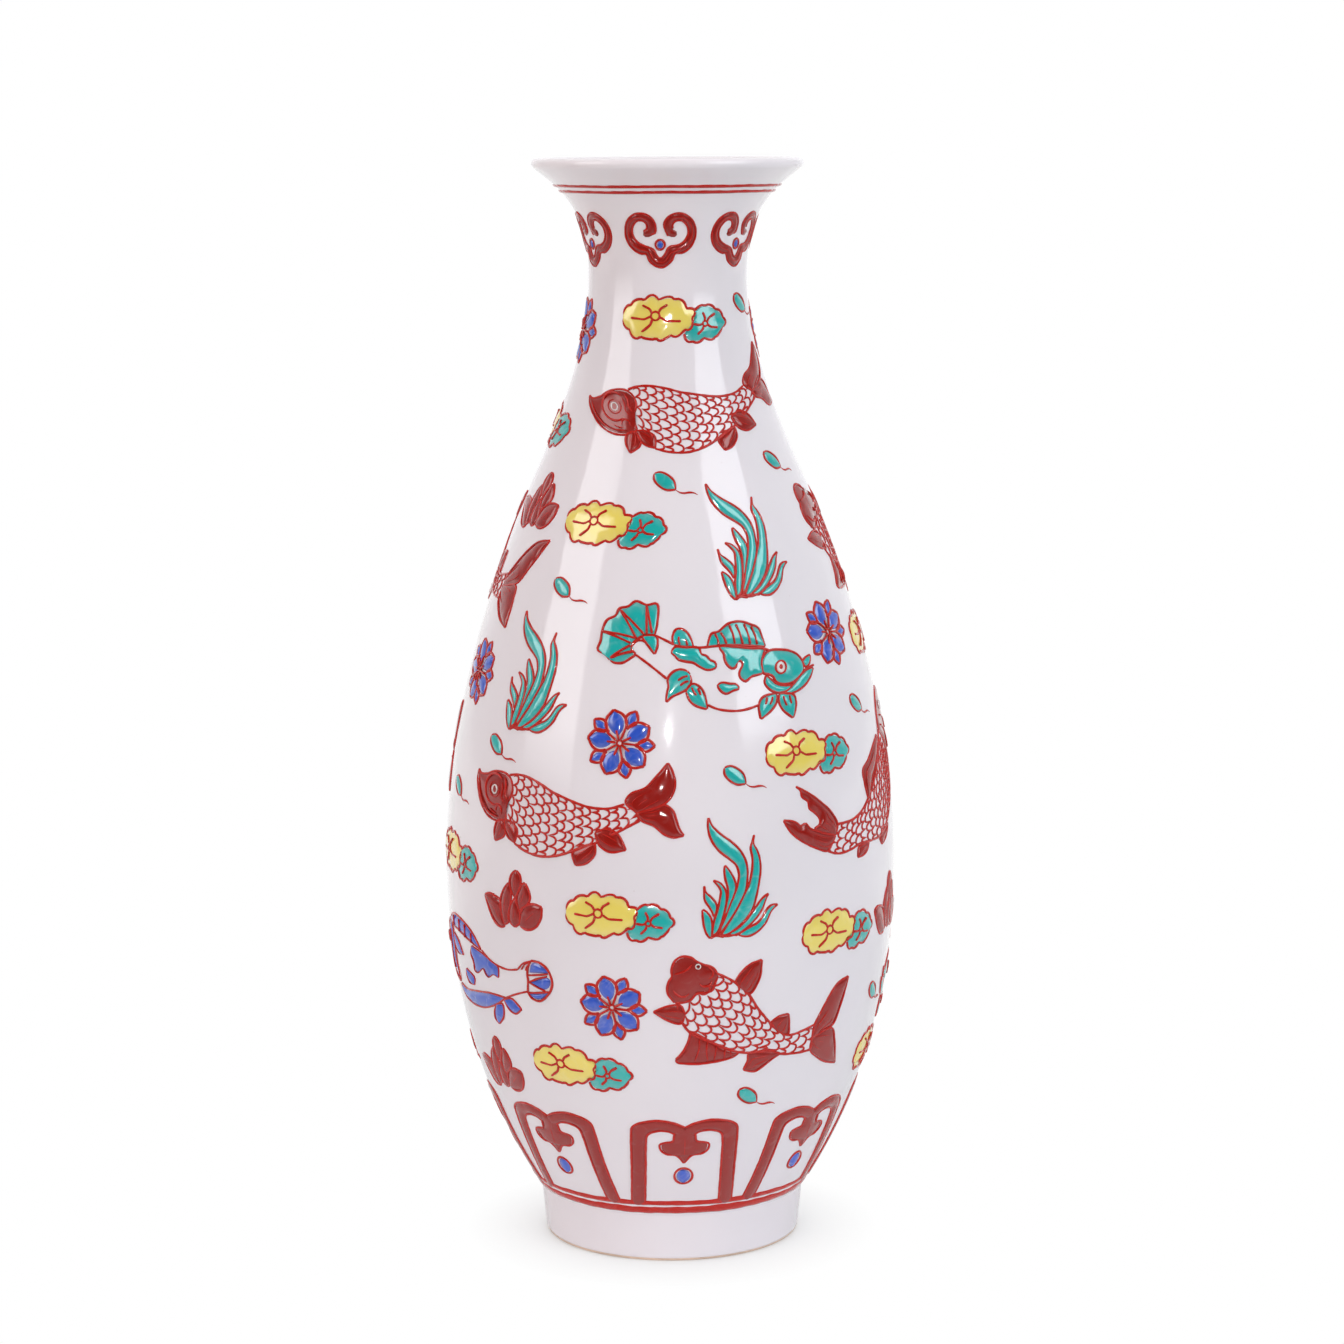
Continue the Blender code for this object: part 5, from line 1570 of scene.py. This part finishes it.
def light_room(settings):
    """White to the camera; mirrored in the glaze, a room that is dark in front and pale behind."""
    world = bpy.data.worlds.new("studio_room")
    world.use_nodes = True
    tree = world.node_tree
    tree.nodes.clear()
    way = add_node(tree, "ShaderNodeTexCoord").outputs["Generated"]
    axes = add_node(tree, "ShaderNodeSeparateXYZ", {"Vector": way})
    shine = stretched(tree, axes.outputs["Y"], -0.3, 0.9, settings.room, settings.backdrop)
    seen = add_node(tree, "ShaderNodeBackground", {"Color": (1, 1, 1, 1), "Strength": 1.0})
    mirror = add_node(tree, "ShaderNodeBackground", {"Color": (0.98, 0.98, 1.0, 1), "Strength": shine})
    ray = add_node(tree, "ShaderNodeLightPath").outputs["Is Camera Ray"]
    mix = add_node(tree, "ShaderNodeMixShader", {0: ray, 1: mirror.outputs[0], 2: seen.outputs[0]})
    add_node(tree, "ShaderNodeOutputWorld", {"Surface": mix.outputs[0]})
    bpy.context.scene.world = world


def place_camera(settings):
    """The camera of the photograph: in front, a little above the middle, looking slightly down."""
    data = bpy.data.cameras.new("studio_camera")
    data.lens = settings.lens
    data.sensor_width = SENSOR_WIDTH
    camera = bpy.data.objects.new("studio_camera", data)
    turn = Matrix.Rotation(math.pi / 2 - settings.tilt, 4, "X") @ Matrix.Rotation(settings.roll, 4, "Z")
    camera.matrix_world = Matrix.Translation((settings.aside, -settings.distance, settings.height)) @ turn
    bpy.context.scene.collection.objects.link(camera)
    bpy.context.scene.camera = camera


# Operators


class FISHVASE_OT_clay(bpy.types.Operator):
    """Turn the glazed sections of the vase and its bare foot rim"""

    bl_idname = "fishvase.clay"
    bl_label = "Glazed clay"

    def execute(self, context):
        settings = context.scene.fishvase_glaze
        glaze = glaze_material(settings)
        sections = (
            ("glazed_foot", foot_profile(), ("foot_ring",), "foot"),
            ("glazed_lower_belly", wall_profile(FOOT[1], BELLY[1]), ("lower_belly", "foot_slip"),
             "glazed_porcelain"),
            ("glazed_upper_belly", wall_profile(BELLY[1], SHOULDER[1]), ("upper_belly", "belly_slip"),
             "glazed_porcelain"),
            ("glazed_neck", wall_profile(SHOULDER[1], NECK[1]), ("neck", "shoulder_slip"),
             "glazed_porcelain"),
            ("glazed_mouth", mouth_profile(), ("flared_mouth", "neck_slip"), "glazed_porcelain"),
        )
        for name, profile, nodes, slot in sections:
            piece = turned(name, profile, glaze, settings.segments)
            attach(piece, "root")
            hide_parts(*nodes)
        rim = turned("bare_foot_rim", bare_rim_profile(), biscuit_material(settings), settings.segments)
        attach(rim, "root")
        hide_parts("foot_ring")
        for node, material in (("base_disc", glaze), ("base_slip", slip_material(settings))):
            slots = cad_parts[node].data.materials
            slots.clear()
            slots.append(material)
        return {"FINISHED"}


class FISHVASE_OT_lines(bpy.types.Operator):
    """Draw the red lines round the foot and under the rim"""

    bl_idname = "fishvase.lines"
    bl_label = "Painted lines"

    def execute(self, context):
        settings = context.scene.fishvase_enamel
        for node, share in LINE_WIDTHS.items():
            paint_line(node, share, settings)
        return {"FINISHED"}


class FISHVASE_OT_ruyi(bpy.types.Operator):
    """Paint the ruyi heads round the neck"""

    bl_idname = "fishvase.ruyi"
    bl_label = "Ruyi heads"

    def execute(self, context):
        settings = context.scene.fishvase_enamel
        places = in_a_ring(RUYI_COUNT, RUYI_ANGLE, arc_at(RUYI_HEIGHT))
        nodes = numbered("ruyi_head", RUYI_COUNT)
        paint("ruyi_heads", ruyi_head(settings), places, settings, nodes)
        return {"FINISHED"}


class FISHVASE_OT_lappets(bpy.types.Operator):
    """Paint the lappets above the foot"""

    bl_idname = "fishvase.lappets"
    bl_label = "Lappets"

    def execute(self, context):
        settings = context.scene.fishvase_enamel
        places = in_a_ring(LAPPET_COUNT, LAPPET_ANGLE, LAPPET_ARC)
        nodes = numbered("lappet", LAPPET_COUNT)
        paint("lappets", lappet(settings), places, settings, nodes)
        return {"FINISHED"}


class FISHVASE_OT_carp(bpy.types.Operator):
    """Paint the red carp"""

    bl_idname = "fishvase.carp"
    bl_label = "Red carp"

    def execute(self, context):
        paint_fish(CARP, context.scene.fishvase_enamel)
        return {"FINISHED"}


class FISHVASE_OT_mandarin_fish(bpy.types.Operator):
    """Paint the teal mandarin fish"""

    bl_idname = "fishvase.mandarin_fish"
    bl_label = "Mandarin fish"

    def execute(self, context):
        paint_fish(MANDARIN, context.scene.fishvase_enamel)
        return {"FINISHED"}


class FISHVASE_OT_catfish(bpy.types.Operator):
    """Paint the blue catfish"""

    bl_idname = "fishvase.catfish"
    bl_label = "Catfish"

    def execute(self, context):
        paint_fish(CATFISH, context.scene.fishvase_enamel)
        return {"FINISHED"}


class FISHVASE_OT_lily_pads(bpy.types.Operator):
    """Paint the lily pads"""

    bl_idname = "fishvase.lily_pads"
    bl_label = "Lily pads"

    def execute(self, context):
        settings = context.scene.fishvase_enamel
        paint("lily_pads", lily_pads(settings), scattered(PADS), settings)
        return {"FINISHED"}


class FISHVASE_OT_flowers(bpy.types.Operator):
    """Paint the blue flowers"""

    bl_idname = "fishvase.flowers"
    bl_label = "Flowers"

    def execute(self, context):
        settings = context.scene.fishvase_enamel
        paint("flowers", flower(settings), scattered(FLOWERS), settings)
        return {"FINISHED"}


class FISHVASE_OT_waterweed(bpy.types.Operator):
    """Paint the tufts of waterweed"""

    bl_idname = "fishvase.waterweed"
    bl_label = "Waterweed"

    def execute(self, context):
        settings = context.scene.fishvase_enamel
        paint("waterweed", waterweed(settings), scattered(WEEDS), settings)
        return {"FINISHED"}


class FISHVASE_OT_lotus_buds(bpy.types.Operator):
    """Paint the lotus buds"""

    bl_idname = "fishvase.lotus_buds"
    bl_label = "Lotus buds"

    def execute(self, context):
        settings = context.scene.fishvase_enamel
        paint("lotus_buds", lotus_bud(settings), scattered(BUDS), settings)
        return {"FINISHED"}


class FISHVASE_OT_seeds(bpy.types.Operator):
    """Paint the seeds with their stalks"""

    bl_idname = "fishvase.seeds"
    bl_label = "Seeds"

    def execute(self, context):
        settings = context.scene.fishvase_enamel
        paint("seeds", seed_pod(settings), scattered(SEEDS), settings)
        return {"FINISHED"}


class FISHVASE_OT_stage(bpy.types.Operator):
    """Set up the floor, the lights, the room and the camera"""

    bl_idname = "fishvase.stage"
    bl_label = "Studio"

    def execute(self, context):
        settings = context.scene.fishvase_stage
        lay_floor(settings)
        hang_light("left_strip", (-1.09, -0.46, 0.72), (0.78, 1.05), settings.left_strip, (0.07, 0.22))
        hang_light("right_strip", (0.87, -0.63, 0.84), (0.78, 1.06), settings.right_strip, (0.05, 0.10),
                   COOL)
        hang_light("front_lamp", (0.0, -1.5, 0.56), (0.05, 0.004), settings.front_lamp, (0.3, 0.3))
        hang_light("ceiling", (0.0, -0.3, 1.9), (3.0, 3.0), settings.ceiling)
        hang_light("front_fill", (0.2, -2.2, 0.3), (2.4, 0.5), settings.front_fill, tint=COOL)
        hang_light("right_fill", (1.3, -1.1, 0.7), (1.2, 1.2), settings.right_fill, tint=COOL)
        hang_light("left_fill", (-1.3, -1.0, 0.5), (1.2, 1.2), settings.left_fill, tint=WARM)
        light_room(settings)
        place_camera(settings)
        context.scene.view_settings.view_transform = "Standard"
        return {"FINISHED"}


OPERATORS = (
    FISHVASE_OT_clay,
    FISHVASE_OT_lines,
    FISHVASE_OT_ruyi,
    FISHVASE_OT_lappets,
    FISHVASE_OT_carp,
    FISHVASE_OT_mandarin_fish,
    FISHVASE_OT_catfish,
    FISHVASE_OT_lily_pads,
    FISHVASE_OT_flowers,
    FISHVASE_OT_waterweed,
    FISHVASE_OT_lotus_buds,
    FISHVASE_OT_seeds,
    FISHVASE_OT_stage,
)


class FISHVASE_PT_panel(bpy.types.Panel):
    """The steps that dress the vase"""

    bl_idname = "FISHVASE_PT_panel"
    bl_label = "Porcelain fish vase"
    bl_space_type = "VIEW_3D"
    bl_region_type = "UI"
    bl_category = "Vase"

    def draw(self, context):
        layout = self.layout
        for group in (context.scene.fishvase_glaze, context.scene.fishvase_enamel,
                      context.scene.fishvase_stage):
            for key in group.__annotations__:
                layout.prop(group, key)
        for operator in OPERATORS:
            layout.operator(operator.bl_idname)


GROUPS = {
    "fishvase_glaze": FishVaseGlaze,
    "fishvase_enamel": FishVaseEnamel,
    "fishvase_stage": FishVaseStage,
}
CLASSES = (*GROUPS.values(), *OPERATORS, FISHVASE_PT_panel)


def register():
    """Adds the classes and hangs their settings on the scene."""
    for cls in CLASSES:
        bpy.utils.register_class(cls)
    for key, group in GROUPS.items():
        setattr(bpy.types.Scene, key, PointerProperty(type=group))


def unregister():
    """Takes the settings and the classes away again."""
    for key in GROUPS:
        delattr(bpy.types.Scene, key)
    for cls in reversed(CLASSES):
        bpy.utils.unregister_class(cls)


def main():
    """Dresses the vase and works out the box of the solids and of the finished object."""
    register()
    bpy.ops.fishvase.clay()
    bpy.ops.fishvase.lines()
    bpy.ops.fishvase.ruyi()
    bpy.ops.fishvase.lappets()
    bpy.ops.fishvase.carp()
    bpy.ops.fishvase.mandarin_fish()
    bpy.ops.fishvase.catfish()
    bpy.ops.fishvase.lily_pads()
    bpy.ops.fishvase.flowers()
    bpy.ops.fishvase.waterweed()
    bpy.ops.fishvase.lotus_buds()
    bpy.ops.fishvase.seeds()
    bpy.ops.fishvase.stage()
    boxes = {"cad": CAD_BOX, "visual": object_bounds()}
    {key: [list(corner) for corner in box] for key, box in boxes.items()}


if __name__ == "__main__":
    main()
